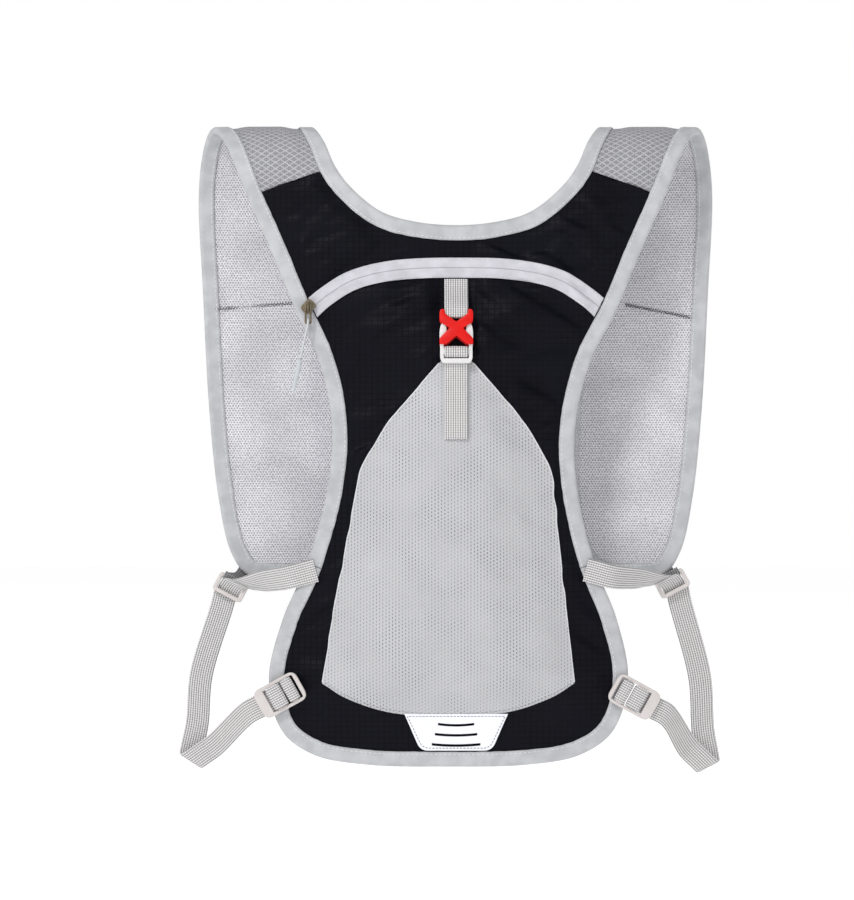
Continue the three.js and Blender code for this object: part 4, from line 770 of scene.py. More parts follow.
def net_finish():
    """Shoulder mesh: a net of flat diamonds with soft hollows."""
    f = Finish("diamond_mesh", Roughness=0.85, Specular_IOR_Level=0.2)
    x, s = f.pattern()
    one = f.wave(x * 0.62 + s + 0.7 * f.noise(7, 1), 3.7)
    two = f.wave(x * 0.62 - s + 0.7 * f.noise(7, 1), 3.7)
    ridge = f.math("MAXIMUM", f.step(one, 0.72, 0.97), f.step(two, 0.72, 0.97))
    knit = f.wave(x, 1.3) * f.wave(s, 1.1)
    tone = f.mix(f.noise(25), linear(122, 122, 127), linear(142, 142, 147))
    tone = f.mix(ridge * (0.3 + 0.6 * f.noise(3)), tone, linear(206, 206, 210))
    f.colour(f.mix(knit * (1 - ridge) * 0.6, tone, linear(186, 186, 190)))
    f.relief(ridge * 0.7 + knit * 0.3, 0.4)
    return f.material


def pocket_finish():
    """Stretch mesh: upright rows of short slots, through which the black cloth shows."""
    f = Finish("pocket_mesh", Roughness=0.85, Specular_IOR_Level=0.2)
    x, s = f.pattern()
    pitch = 2.05
    column = f.math("FLOOR", x / pitch)
    lane = f.math("PINGPONG", x / pitch, 0.5) * 2
    dash = f.wave(s + column * 1.37 + 0.8 * f.noise(4), 2.3)
    slot = f.step(lane, 0.55, 0.9) * f.step(dash, 0.35, 0.75)
    open_here = 0.3 + 0.55 * f.step(f.noise(24, 2), 0.35, 0.7)
    tone = f.mix(f.noise(35, 2), linear(180, 180, 183), linear(196, 196, 199))
    f.colour(f.mix(slot * open_here, tone, linear(92, 92, 98)))
    f.relief(1 - slot, 0.25)
    return f.material


def ribbon_finish(name, low, high, depth):
    """Woven ribbon: u across it and v along it. Ribs run along its length and cross threads
    over them, so that broad light cells stand between thin dark lines."""
    f = Finish(name, Roughness=0.85, Specular_IOR_Level=0.2)
    u, v = f.pattern()
    pitch = 1.5
    cells = f.step(f.wave(u, pitch), 0, 0.4) * (0.5 + 0.5 * f.step(f.wave(v, pitch), 0, 0.4))
    tone = f.mix(cells, low, high)
    f.colour(f.mix(f.noise(18) * 0.16, tone, low))
    f.relief(cells, depth)
    return f.material


def tape_finish(name, low, high):
    """Plain tape: fine slanting twill and faint cloudy shading."""
    f = Finish(name, Roughness=0.8, Specular_IOR_Level=0.2)
    u, v = f.pattern()
    twill = f.wave(u + v, 1.0)
    f.colour(f.mix(twill * 0.35 + 0.65 * f.step(f.noise(11, 3), 0.3, 0.7), low, high))
    f.relief(twill, 0.05)
    return f.material


def moulded_finish(name, low, high, rough=0.42, gloss=0.5):
    """Moulded plastic: faint mottling of colour and gloss."""
    f = Finish(name, Roughness=rough, Specular_IOR_Level=gloss)
    f.solid()
    grain = f.noise(0.5, 2)
    f.colour(f.mix(f.noise(6, 2), low, high))
    f.roughness(rough + 0.16 * (grain - 0.5))
    f.relief(grain, 0.03)
    return f.material


def metal_finish():
    """Plated zinc, brushed: its colour mottled at random from dark to pale, the pale patches partly
    painted highlights.
    """
    f = Finish("plated_metal", Metallic=0.95, Roughness=0.3)
    f.solid()
    mottle_and_painted_glint = f.noise(1.6, 3)
    # Random mottle of the metal's colour; its pale end is in part a painted highlight that stands
    # for glints.
    f.colour(f.mix(mottle_and_painted_glint, linear(44, 38, 28), linear(150, 138, 116)))
    f.roughness(0.24 + 0.22 * mottle_and_painted_glint)
    f.relief(f.noise(0.25, 2), 0.02)
    return f.material


def film_finish():
    """Reflective film: tiny glass beads in a fine diagonal emboss."""
    f = Finish("reflective_film", Roughness=0.3, Specular_IOR_Level=0.6, Coat_Weight=0.3)
    x, s = f.pattern()
    emboss = f.math("MAXIMUM", f.wave(x + s, 1.3), f.wave(x - s, 1.3))
    f.colour(f.mix(f.noise(14), linear(226, 227, 236), linear(246, 247, 252)))
    f.roughness(0.26 + 0.2 * f.noise(0.7))
    f.relief(emboss, 0.06)
    return f.material


def thread_finish(name, colour):
    """Sewing thread: twisted plies."""
    f = Finish(name, Roughness=0.75, Sheen_Weight=0.15)
    x, y, z = f.solid()
    twist = f.wave(x + y + z, 0.35)
    f.colour(f.mix(twist, tuple(0.7 * c for c in colour), colour))
    f.relief(twist, 0.05)
    return f.material


def braid_finish():
    """Braided cord: two crossing spirals of strands."""
    f = Finish("braided_cord", Roughness=0.8, Sheen_Weight=0.1)
    u, v = f.pattern()
    one, two = f.wave(u + v, 1.0), f.wave(u - v, 1.0)
    braid = f.math("MAXIMUM", one, two)
    f.colour(f.mix(braid, linear(150, 152, 158), linear(214, 216, 220)))
    f.relief(braid, 0.15)
    return f.material


RIPSTOP = ripstop_finish()
LINING = lining_finish()
NET = net_finish()
POCKET = pocket_finish()
BINDING = tape_finish("binding_tape", linear(170, 171, 174), linear(194, 195, 198))
TAPE = tape_finish("zip_tape", linear(186, 185, 192), linear(208, 207, 214))
WEBBING = ribbon_finish("webbing", linear(138, 137, 138), linear(228, 226, 226), 0.35)
TAB = ribbon_finish("tab_webbing", linear(84, 84, 86), linear(150, 150, 152), 0.3)
WHITE = moulded_finish("white_plastic", linear(214, 213, 213), linear(226, 225, 225))
PALE = moulded_finish("pale_plastic", linear(196, 189, 187), linear(210, 204, 202))
RED = moulded_finish("red_plastic", linear(200, 3, 1), linear(226, 8, 2), 0.36, 0.3)
GREY = moulded_finish("grey_plastic", linear(176, 181, 186), linear(196, 200, 204))
METAL = metal_finish()
FILM = film_finish()
BRAID = braid_finish()
PALE_THREAD = thread_finish("pale_thread", linear(232, 233, 238))
DARK_THREAD = thread_finish("dark_thread", linear(44, 44, 54))
GREY_THREAD = thread_finish("grey_thread", linear(150, 150, 156))


def dress(made, material, slot, *nodes):
    """Gives a piece its material, its body and the nodes that it stands for; its slot is not used.
    """
    made.data.materials.clear()
    made.data.materials.append(material)
    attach(made, "root")
    if nodes:
        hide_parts(*nodes)
    return made


pull_cord.data.materials.append(BRAID)
pull_end.data.materials.append(GREY)


# Cloth

HALF_SHARES = ramp((0, 0), (0.08, 10), (0.5, 52))
ACROSS = np.concatenate([HALF_SHARES, 1 - HALF_SHARES[-2::-1]])

COVER_ROWS = [(POCKET_TOP, 0.15), (POCKET_BEND, 1), (POCKET_SIDE_DROP, 1.31),
              (POCKET_DROP + 20, 1.31)]
COVER_S = s_at("back", np.array([drop for drop, _ in COVER_ROWS]))[::-1]
COVER_HALF = np.array([share for _, share in COVER_ROWS])[::-1] * POCKET_BEND_WIDTH / 2


def covered(x, s):
    """One where the taut pocket holds the cloth flat, nothing well outside it."""
    half = np.interp(s, COVER_S, COVER_HALF)
    return smooth((half + 9 - np.abs(x)) / 14) * smooth((COVER_S[-1] + 8 - s) / 14)


def folds(x, s):
    """Small slack wrinkles of the pack's black cloth: long soft creases that lean from the
    edges to the middle, none at the sewn edges or under the strap, few under the pocket."""
    lean = np.where(x < 0, 0.55, -0.55)
    creases = noise(x + lean * s, s - lean * x, 11, 3, stretch=3.5)
    ripples = noise(x + 0.3 * s, s - 0.3 * x, 5, 5, stretch=2.8)
    slow = noise(x, s, 30, 7)
    height = 2.7 * smooth(0.5 + creases * 1.4) + 1.2 * ripples + 1.1 * slow
    sewn = smooth((edge_distance(x, s) - BINDING_WIDTH + 1) / 12)
    slack = 1 - 0.8 * covered(x, s)
    return np.maximum(height, 0) * sewn * slack * smooth((np.abs(x) - 9) / 10)


def outer(x, s):
    """Height of the black cloth's foot over the pattern, its wrinkles with it."""
    return fullness(x, s) + folds(x, s)


def flat_size(grid):
    """Width and length, and area, of a grid of the pattern, in metres."""
    one, two = grid[1:, 1:] - grid[:-1, :-1], grid[1:, :-1] - grid[:-1, 1:]
    area = np.abs(one[..., 0] * two[..., 1] - one[..., 1] * two[..., 0]).sum() / 2
    reach = np.ptp(grid.reshape(-1, 2), axis=0) * MM
    return tuple(reach.tolist()), float(area * MM**2)


def body_grid(shift, columns, rows):
    """Lower part of the pack, from the hem up to the zip's line moved by shift."""
    top = zip_line(INSET, shift)

    def rise(side):
        whole = edge(side, "corner", "zip", INSET)
        end = top[0] if side < 0 else top[-1]
        return np.vstack([whole[whole[:, 1] < end[1] - 1], end])

    hem = np.vstack([edge(-1, "hem", "corner", INSET)[::-1], edge(1, "hem", "corner", INSET)[1:]])
    return patch(hem, top, rise(-1), rise(1), columns, rows)


def yoke_border(side, shift):
    """Armhole edge of the yoke from the zip's end to the strap's seam, and the neck's edge
    from its middle to that seam; both stop half a seam's gap short."""
    line = zip_line(INSET, shift)
    end = line[0] if side < 0 else line[-1]
    armhole = edge(side, "zip", "seam", INSET)
    outer_edge = np.vstack([end, armhole[armhole[:, 1] > end[1] + 1]])
    neck = edge(side, "neck", "neck seam", INSET)
    return tuple(along(line, np.linspace(0, 1 - SEAM_GAP / 2 / lengths(line)[-1], count))
                 for line, count in ((outer_edge, 90), (neck, 160)))


SEAM_SHARE = 0.17
YOKE_COLUMNS = ramp((0, 0), (SEAM_SHARE, 34), (1 - SEAM_SHARE, 110), (1, 34))


def yoke_grid(shift, rows):
    """Everything between the zip and the straps' seams as one patch: its top border runs
    along one seam, round the neck and along the other seam."""
    left_edge, left_neck = yoke_border(-1, shift)
    right_edge, right_neck = yoke_border(1, shift)
    steps = 40
    seams = [along(np.vstack(ends), np.linspace(0, 1, steps)) for ends in (
        [left_edge[-1], left_neck[-1]], [right_neck[-1], right_edge[-1]])]
    top = np.vstack([seams[0], left_neck[::-1][1:], right_neck[1:], seams[1][1:]])
    run = lengths(top)
    seam_run = run[steps - 1] / run[-1]
    top_shares = np.interp(YOKE_COLUMNS, [0, SEAM_SHARE, 1 - SEAM_SHARE, 1],
                           [0, seam_run, 1 - seam_run, 1])
    return patch(zip_line(INSET, shift), along(top, top_shares), left_edge, right_edge,
                 YOKE_COLUMNS, rows, top_fits=True)


body_rows = ramp((0, 0), (0.05, 8), (1, 140))
for name, grid, node in (
    ("lower_cloth", body_grid(-MOUTH_WIDTH / 2, ACROSS, body_rows), "lower_panel"),
    ("yoke_cloth", yoke_grid(MOUTH_WIDTH / 2, np.linspace(0, 1, 60)), "yoke"),
):
    foot = LAYER_GAP + outer(grid[..., 0], grid[..., 1])
    made = dress(cloth_piece(name, grid, foot, foot + CLOTH), RIPSTOP, "black_cloth", node)
    flat, area = flat_size(grid)


def pad_low(x, s):
    """Underside of the back's pad: thin in the binding, thick inside it."""
    inner = smooth((edge_distance(x, s) - PAD_START) / 12)
    return -PAD_EDGE - (PAD_THICKNESS - PAD_EDGE) * inner


back = np.vstack([
    body_grid(0, YOKE_COLUMNS, ramp((0, 0), (0.05, 6), (1, 90)))[:-1],
    yoke_grid(0, np.linspace(0, 1, 44)),
])
back_x, back_s = back[..., 0], back[..., 1]
back_pad = cloth_piece("back_pad", back, pad_low(back_x, back_s), np.zeros_like(back_x))
dress(back_pad, LINING, "air_mesh", "back_panel")


def strap_grid(side, columns, rows):
    """One shoulder strap: from the seam over the shoulder and down the front."""
    cuts = []
    for line in (edge(side, "neck seam", "foot", INSET), edge(side, "seam", "tip", INSET)):
        cuts.append(along(line, np.linspace(SEAM_GAP / 2 / lengths(line)[-1], 1, 700)))
    left, right = cuts[::side]
    foot = edge(side, "foot", "tip", INSET)[::side]
    return patch(np.vstack([left[0], right[0]]), foot, left, right, columns, rows)


STRAP_COLUMNS = ramp((0, 0), (0.1, 7), (0.9, 44), (1, 7))
STRAP_ROWS = ramp((0, 0), (0.97, 250), (1, 12))
NAMES = {-1: "left", 1: "right"}
for side, name in NAMES.items():
    grid = strap_grid(side, STRAP_COLUMNS, STRAP_ROWS)
    x, s = grid[..., 0], grid[..., 1]
    inner = smooth((edge_distance(x, s) - BINDING_WIDTH - 2) / 10)
    sag = noise(x, s, 26, 11 + side) * 0.5 + noise(x, s, 10, 13 + side, stretch=2) * 0.25
    shell = cloth_piece(f"strap_net_{name}", grid, np.full_like(x, LAYER_GAP),
                        CLOTH_TOP + (1.4 + sag * 0.5) * inner)
    dress(shell, NET, "hexagon_mesh", f"strap_shell_{name}")
    pad = cloth_piece(f"strap_pad_{name}", grid, -PAD_EDGE - (0.8 + sag) * inner,
                      np.zeros_like(x))
    dress(pad, LINING, "air_mesh", f"strap_lining_{name}")

# Stitching

STITCH = np.array([0, 0.12, 0.5, 0.88, 1]) - 0.5
STITCH_WIDE = np.array([0.25, 0.8, 1, 0.8, 0.25])
STITCH_RISE = 0.25


def stitches(points, normals, pitch, length, width):
    """Row of stitches along a line: each a short five-ringed grain of six sides that lies on
    the surface, thickest at its middle."""
    run = lengths(points)
    centres = np.arange(pitch / 2, run[-1], pitch)
    at, out, heading = (
        np.stack([np.interp(centres, run, rows[:, k]) for k in range(3)], -1)
        for rows in (points, normals, np.gradient(points, axis=0))
    )
    out, heading = unit(out), unit(heading)
    side = unit(np.cross(out, heading))
    angle = np.linspace(0, 2 * np.pi, 7)[:-1]
    ring = np.stack(np.broadcast_arrays(
        STITCH[:, None] * length,
        np.cos(angle)[None] * STITCH_WIDE[:, None] * width / 2,
        np.sin(angle)[None] * STITCH_WIDE[:, None] * STITCH_RISE,
    ), -1).reshape(-1, 3)
    local = np.stack([heading, side, out], 1)
    made = at[:, None] + np.einsum("kc,mcd->mkd", ring, local)
    body = grid_faces(5, 6, wrap=True)
    caps = [[0, 3, 2, 1], [0, 5, 4, 3], [24, 25, 26, 27], [24, 27, 28, 29]]
    faces = np.vstack([body, caps])
    offset = (np.arange(len(centres)) * 30)[:, None, None]
    return made.reshape(-1, 3), (faces[None] + offset).reshape(-1, 4)


def seam(name, rows, material, slot, **sizes):
    """One piece of stitching from several rows, each a line of points and normals."""
    parts = [stitches(points, normals, **sizes) for points, normals in rows]
    starts = np.cumsum([0] + [len(p) for p, _ in parts[:-1]])
    made = piece(name, np.vstack([p for p, _ in parts]),
                 np.vstack([f + k for (_, f), k in zip(parts, starts)]))
    return dress(made, material, slot)


def on_pattern(line, height):
    """Line and normals in space for a line of the pattern at a height over it."""
    x, s = line[:, 0], line[:, 1]
    return laid(x, s, height), normal_at(x, s)


# Front seam of each panel's lining, in the wide zigzag of an overlock stitch
SEAM_ENDS = {-1: ((-157.4, 114.6), (-102.3, 110)), 1: ((110.9, 111.3), (153.5, 119.8))}
for side, name in NAMES.items():
    ends = np.array([(x, float(s_at("front", drop))) for x, drop in SEAM_ENDS[side]])
    line = along(ends, np.linspace(0, 1, 120))
    line[:, 1] += 0.9 * (np.arange(120) % 4 - 1.5).clip(-1, 1)
    points, normals = on_pattern(line, np.full(len(line), -2.4))
    seam(f"lining_seam_{name}", [(points, -normals)], DARK_THREAD, "air_mesh",
         pitch=1.5, length=1.3, width=0.5)

# Edge binding

SKIN = 9
BINDING_STEP = 1.4


def binding_skins():
    """Outer and inner skins of the folded tape, each a line of (inward, n), paired point
    for point: down the outer leg, round the fold and back under."""
    w, top, slot, wall = BINDING_WIDTH, BINDING_TOP, BINDING_SLOT, BINDING_WALL
    nose = 2.2
    leg = np.linspace(w, nose, SKIN)
    bend = np.linspace(0, np.pi / 2, 6)[1:]
    arc = np.stack([nose - nose * np.sin(bend), top - nose + nose * np.cos(bend)], -1)
    half = np.vstack([np.stack([leg, np.full(SKIN, top)], -1), arc])
    half[0] -= [0.15, 0.3]
    inner_leg = np.stack([leg, np.full(SKIN, slot)], -1)
    inner_arc = np.stack([
        np.interp(bend, [0, 0.3 * np.pi, np.pi / 2], row)
        for row in ([nose, wall, wall], [slot, slot, LAYER_GAP])
    ], -1)
    inner_half = np.vstack([inner_leg, inner_arc])
    mirror = np.array([1, -1])
    outer_skin = np.vstack([half, [[0, 0]], half[::-1] * mirror])
    inner_skin = np.vstack([inner_half, [[wall, 0]], inner_half[::-1] * mirror])
    return outer_skin, inner_skin


OUTER_SKIN, INNER_SKIN = binding_skins()


def ring_at(places):
    """Outline points and inward directions at places counted in its points."""
    low = np.floor(places).astype(int)
    t = (places - low)[:, None]
    a, b = low % RING_COUNT, (low + 1) % RING_COUNT
    return RING[a] * (1 - t) + RING[b] * t, unit(RING_INWARD[a] * (1 - t) + RING_INWARD[b] * t)


def binding_piece(name, start, end, node):
    """Folded tape swept along the outline between two marks: its section is set square to
    the line, its legs puckered a little by the stitching."""
    fine = np.arange(start, end + 1)
    points, _ = ring_at(fine.astype(float))
    run = lengths(points)
    steps = int(run[-1] / BINDING_STEP)
    gap = SEAM_GAP / 2
    places = np.interp(np.linspace(gap, run[-1] - gap, steps + 1), run, fine)
    centre, inward = ring_at(places)
    run_at = np.interp(places, fine, run)
    pucker = noise(run_at, 0 * run_at, 3.2, 17) * 0.5 + noise(run_at, 0 * run_at, 14, 19) * 0.5

    def skin(section, thick):
        reach = np.broadcast_to(section[:, 0], (steps + 1, len(section)))
        share = np.clip(reach / BINDING_WIDTH, 0, 1)
        lift = thick * pucker[:, None] * smooth(share * 1.3) * np.sign(section[:, 1])
        q = centre[:, None] + inward[:, None] * (reach + 0.3 * pucker[:, None] * share)[..., None]
        return laid(q[..., 0], q[..., 1], section[:, 1] + lift)

    made = layer_piece(name, skin(OUTER_SKIN, 0.16), skin(INNER_SKIN, 0.0),
                       band_uv(lengths(OUTER_SKIN), run_at[:, None]))
    dress(made, BINDING, "binding", node)
    rows = []
    for level in (1, -1):
        line = centre + inward * (BINDING_WIDTH - 1.7)
        points, normals = on_pattern(line, level * (BINDING_TOP + 0.02))
        rows.append((points, normals * level))
    seam(f"{name}_stitching", rows, PALE_THREAD, "binding", pitch=3.0, length=2.3, width=0.55)


FOOT, TIE = MARKS["foot"], MARKS["tie"]
binding_piece("hem_tape", -TIE, TIE, "hem_binding")
binding_piece("side_tape_right", TIE, FOOT, "side_binding_right")
binding_piece("side_tape_left", -FOOT, -TIE, "side_binding_left")
binding_piece("neck_tape", FOOT, RING_COUNT - FOOT, "neck_binding")

# Zip


def zip_grid(low, high, rows):
    """Strip of the pattern between two shifts of the zip's line."""
    bottom, top = (zip_line(ZIP_CLEAR, shift) for shift in (low, high))
    return patch(bottom, top, np.vstack([bottom[0], top[0]]), np.vstack([bottom[-1], top[-1]]),
                 np.linspace(0, 1, 220), rows)


ZIP_CLEAR = BINDING_WIDTH + 0.6
TAPE_ROWS = np.linspace(0, 1, 12)[:, None]
for name, low, high, node in (
    ("zip_tape_high", 0.08, TAPE_WIDTH / 2, "zip_tape_upper"),
    ("zip_tape_low", -TAPE_WIDTH / 2, -0.08, "zip_tape_lower"),
):
    grid = zip_grid(low, high, TAPE_ROWS[:, 0])
    x, s = grid[..., 0], grid[..., 1]
    across = low + (high - low) * TAPE_ROWS
    off_middle = np.abs(across)
    over_coil = smooth(1.4 - off_middle / 2.2)
    foot = TRIM_BASE + outer(x, s)
    edge_fall = 0.3 * smooth(off_middle - TAPE_WIDTH / 2 + 1)
    made = layer_piece(name, laid(x, s, foot + 0.95 + 0.4 * over_coil - edge_fall),
                       laid(x, s, foot + 0.6 * over_coil), band_uv(across, lengths(grid[2])))
    dress(made, TAPE, "zip_tape", node)
    share = 0.84 if low > 0 else 0.16
    line = along(zip_line(ZIP_CLEAR, low + (high - low) * share), np.linspace(0, 1, 200))
    row = on_pattern(line, TRIM_BASE + 0.97 + outer(line[:, 0], line[:, 1]))
    seam(f"{name}_stitching", [row], PALE_THREAD, "zip_tape", pitch=2.6, length=2.0, width=0.4)

# The coil lies hidden under the two tape edges that meet along the zip's middle.
zip_half = COIL_WIDTH / 2 - 0.2
across = np.linspace(-1, 1, 9)[:, None]
grid = zip_grid(-zip_half, zip_half, np.linspace(0, 1, 9))
x, s = grid[..., 0], grid[..., 1]
foot = TRIM_BASE + outer(x, s)
made = layer_piece("zip_middle", laid(x, s, foot + 0.35 + 0.2 * (1 - across**2)),
                   laid(x, s, foot + 0.1), band_uv(across * zip_half, lengths(grid[4])))
dress(made, TAPE, "zip_coil", "zip_coil")

# Mesh pocket and the patch below it


def pocket_swing(drop):
    """How far the pocket leans to the left at a drop: not at all near its top."""
    return swing_at(drop) * float(smooth((drop - 200) / BACK_LENGTH * 4))


def pocket_side(side):
    """One free edge of the pocket, from its foot up to the strap that holds it."""
    rows = [
        (POCKET_BASE_WIDTH / 2, POCKET_SIDE_DROP),
        (POCKET_BASE_WIDTH * 0.47, POCKET_SIDE_DROP * 0.9),
        (POCKET_BASE_WIDTH * 0.425, POCKET_BEND * 1.24),
        (POCKET_BEND_WIDTH / 2, POCKET_BEND),
        (POCKET_BEND_WIDTH * 0.36, POCKET_BEND * 0.87),
        (WEBBING_WIDTH * 0.62, POCKET_TOP),
    ]
    count, reach = 240, 12
    line = np.array([(side * half - pocket_swing(drop), float(s_at("back", drop)))
                     for half, drop in rows])
    line = along(line, np.linspace(0, 1, count))
    kernel = np.ones(2 * reach + 1) / (2 * reach + 1)
    rounded = np.stack([np.convolve(np.pad(line[:, k], reach, "edge"), kernel, "valid")
                        for k in (0, 1)], -1)
    wave = 0.5 * noise(lengths(rounded), np.zeros(count), 9, 23 + side)
    ease = smooth(np.linspace(0, 6, count))
    rounded[:, 0] += side * wave * ease * ease[::-1]
    rounded[0], rounded[-1] = line[0], line[-1]
    return rounded


base_rows = [
    (-1, POCKET_SIDE_DROP), (-0.8, (POCKET_SIDE_DROP + POCKET_DROP) / 2), (-0.42, POCKET_DROP),
    (0.42, POCKET_DROP), (0.8, (POCKET_SIDE_DROP + POCKET_DROP) / 2), (1, POCKET_SIDE_DROP),
]
pocket_base = curve([
    (share * POCKET_BASE_WIDTH / 2 - pocket_swing(drop), float(s_at("back", drop)))
    for share, drop in base_rows
], np.linspace(0, 1, 121))
sides = {side: pocket_side(side) for side in (-1, 1)}
pocket_rim = np.vstack([pocket_base, sides[1][1:], sides[-1][::-1]])


def pocket_foot(x, s):
    """Underside of the pocket: over the wrinkled cloth, slack inside its edges, and drawn
    into a few long soft folds that run down from the buckle."""
    gap = nearest(np.stack([x, s], -1), pocket_rim)
    inner = smooth(gap / 22)
    clear = smooth((np.abs(x) - 9) / 14)
    folds_down = noise(x, s * 0.16, 15, 31) * 0.9 + noise(x + 0.2 * s, s * 0.3, 8, 33) * 0.35
    return TRIM_BASE + (POCKET_FULLNESS + folds_down * clear) * inner + outer(x, s)


# The pocket: a patch between its base and its two free edges
pocket = patch(
    pocket_base, np.vstack([sides[-1][-1], sides[1][-1]]), sides[-1], sides[1],
    np.linspace(0, 1, 150), np.linspace(0, 1, 230),
)
pocket_low = pocket_foot(pocket[..., 0], pocket[..., 1])
made = cloth_piece("net_pocket", pocket, pocket_low, pocket_low + 0.8)
dress(made, POCKET, "pocket_mesh", "mesh_pocket")

PATCH_TOP = float(s_at("back", POCKET_DROP)) - 0.3
PATCH_HEIGHT = 24
PATCH_TOP_WIDTH = 66
PATCH_BOTTOM_WIDTH = 46
PATCH_CORNER = 5
SLOT_WIDTH = 1.6
SHARP_ANGLE = 42


def parabola(a, b, c, t):
    """Parabola from a to c, drawn towards b."""
    a, b, c = (np.asarray(p) for p in (a, b, c))
    return a * (1 - t) ** 2 + 2 * b * t * (1 - t) + c * t**2


def patch_loop(inset):
    """Outline of the reflective patch drawn in by inset, its lower corners rounded."""
    top, low, corner = PATCH_TOP_WIDTH / 2, PATCH_BOTTOM_WIDTH / 2, PATCH_CORNER
    t = np.linspace(0, 1, 9)[:, None]
    bend = parabola((low + corner * 0.4, -PATCH_HEIGHT + corner), (low, -PATCH_HEIGHT),
                    (low - corner, -PATCH_HEIGHT), t)
    right = np.vstack([[top, 0], bend])
    left = right[::-1] * [-1, 1]
    loop = np.vstack([right, left])
    centre = np.array([0, -PATCH_HEIGHT / 2])
    scale = 1 - inset / np.array([PATCH_BOTTOM_WIDTH / 2 + 4, PATCH_HEIGHT / 2])
    return (loop - centre) * scale + centre


def flat_plate(name, loops, thickness, bevel, lift, cuts=0):
    """Flat plate from closed outlines, the first outside and the others holes, with rounded
    rims; lift carries its points to their place."""
    line = bpy.data.curves.new(name, "CURVE")
    line.dimensions, line.fill_mode = "2D", "BOTH"
    line.extrude, line.bevel_depth = (thickness / 2 - bevel) * MM, bevel * MM
    line.bevel_resolution, line.offset = 2, -bevel * MM
    for loop in loops:
        spline = line.splines.new("POLY")
        spline.points.add(len(loop) - 1)
        flat = np.column_stack([loop * MM, np.zeros(len(loop)), np.ones(len(loop))])
        spline.points.foreach_set("co", flat.ravel())
        spline.use_cyclic_u = True
    shape = linked(name, line)
    graph = bpy.context.evaluated_depsgraph_get()
    mesh = bpy.data.meshes.new_from_object(shape.evaluated_get(graph))
    bpy.data.objects.remove(shape)
    work = bmesh.new()
    work.from_mesh(mesh)
    bmesh.ops.remove_doubles(work, verts=work.verts, dist=1e-6)
    for _ in range(cuts):
        long_edges = [e for e in work.edges if e.calc_length() > 3 * MM]
        bmesh.ops.subdivide_edges(work, edges=long_edges, cuts=1)
        bmesh.ops.triangulate(work, faces=work.faces)
    work.to_mesh(mesh)
    work.free()
    mesh.name = name
    made = linked(name, mesh)
    flat = np.empty(len(mesh.vertices) * 3)
    mesh.vertices.foreach_get("co", flat)
    flat = flat.reshape(-1, 3) / MM
    set_pattern(mesh, flat[:, :2])
    mesh.vertices.foreach_set("co", (lift(flat) * MM).ravel())
    shade_smooth(mesh, SHARP_ANGLE)
    mesh.update()
    return made


def flat_piece(name, loops, thickness, bevel, lift, material, slot, node, cuts=0):
    """Flat plate with its finish and the node that it stands for."""
    dress(flat_plate(name, loops, thickness, bevel, lift, cuts), material, slot, node)


def slot_loops():
    """Three sagging slots across the patch, each a little longer than the one above."""
    t = np.linspace(0, 1, 15)[:, None]
    loops = []
    for i in range(3):
        y, half, rise = -6.6 * (i + 0.9), (23 + 4 * i) / 2, SLOT_WIDTH
        loops.append(np.vstack([
            parabola((-half, y), (0, y - rise), (half, y), t),
            parabola((half, y - rise), (0, y - 2 * rise), (-half, y - rise), t),
        ]))
    return loops


def patch_lift(local):
    """Patch's flat points laid on the cloth below the pocket."""
    x, s = local[:, 0], PATCH_TOP + local[:, 1]
    return laid(x, s, TRIM_BASE + LAYER_GAP + 0.4 + local[:, 2] + outer(x, s))


flat_piece("reflector", [patch_loop(0), *slot_loops()], 0.8, 0.25, patch_lift, FILM,
           "reflective", "reflective_patch", cuts=3)
loop = patch_loop(1.6)
loop = along(np.vstack([loop, loop[:1]]), np.linspace(0, 1, 300))
at_patch = np.column_stack([loop, np.full(300, 0.45)])
seam("reflector_stitching", [(patch_lift(at_patch), normal_at(loop[:, 0], PATCH_TOP + loop[:, 1]))],
     DARK_THREAD, "black_cloth", pitch=2.2, length=1.5, width=0.4)

for side, name in NAMES.items():
    line = along(sides[side], np.linspace(0.004, 0.99, 300))
    x, s = line[:, 0], line[:, 1]
    made = tube_piece(f"pocket_edge_{name}", laid(x, s, pocket_foot(x, s) + 0.45), 0.5, 10,
                      normal_at(x, s))
    dress(made, PALE_THREAD, "pocket_mesh")
line = along(pocket_base, np.linspace(0.01, 0.99, 200))
line[:, 1] += 1.8
row = on_pattern(line, pocket_foot(line[:, 0], line[:, 1]) + 0.82)
seam("pocket_stitching", [row], GREY_THREAD, "pocket_mesh", pitch=2.8, length=2.0, width=0.4)

# Straps and their hardware


COLUMNS = 12


def cross_lines(stations, steps):
    """Webbing's middle surface: cross lines along a smooth line through stations of a middle
    point and a cross direction."""
    shares = np.linspace(0, 1, steps)
    middle = curve([at for at, _ in stations], shares)
    across = unit(curve([d for _, d in stations], shares))
    w = np.linspace(-WEBBING_WIDTH / 2, WEBBING_WIDTH / 2, COLUMNS + 1)
    return middle[:, None] + across[:, None] * w[:, None]


def webbing_piece(name, lines, material, slot, node):
    """Woven band on its middle surface: as thick as the webbing, thinner along its two
    edges; its uv runs across it and along it."""
    columns = lines.shape[1]
    out = unit(np.cross(np.gradient(lines, axis=1), np.gradient(lines, axis=0)))
    w = np.linspace(-1, 1, columns)
    half = WEBBING_THICKNESS / 2 * (1 - 0.55 * np.abs(w) ** 8)[None, :, None]
    run = lengths(lines[:, columns // 2])
    made = layer_piece(name, lines + out * half, lines - out * half,
                       band_uv(WEBBING_WIDTH * (w / 2 + 0.5), run[:, None]))
    dress(made, material, slot, node)


def stations_in(place, rows, across=None):
    """Stations in a frame from rows of y and z."""
    across = place[:3, 0] if across is None else across
    return [(in_frame(place, [0, y, z]), across) for y, z in rows]


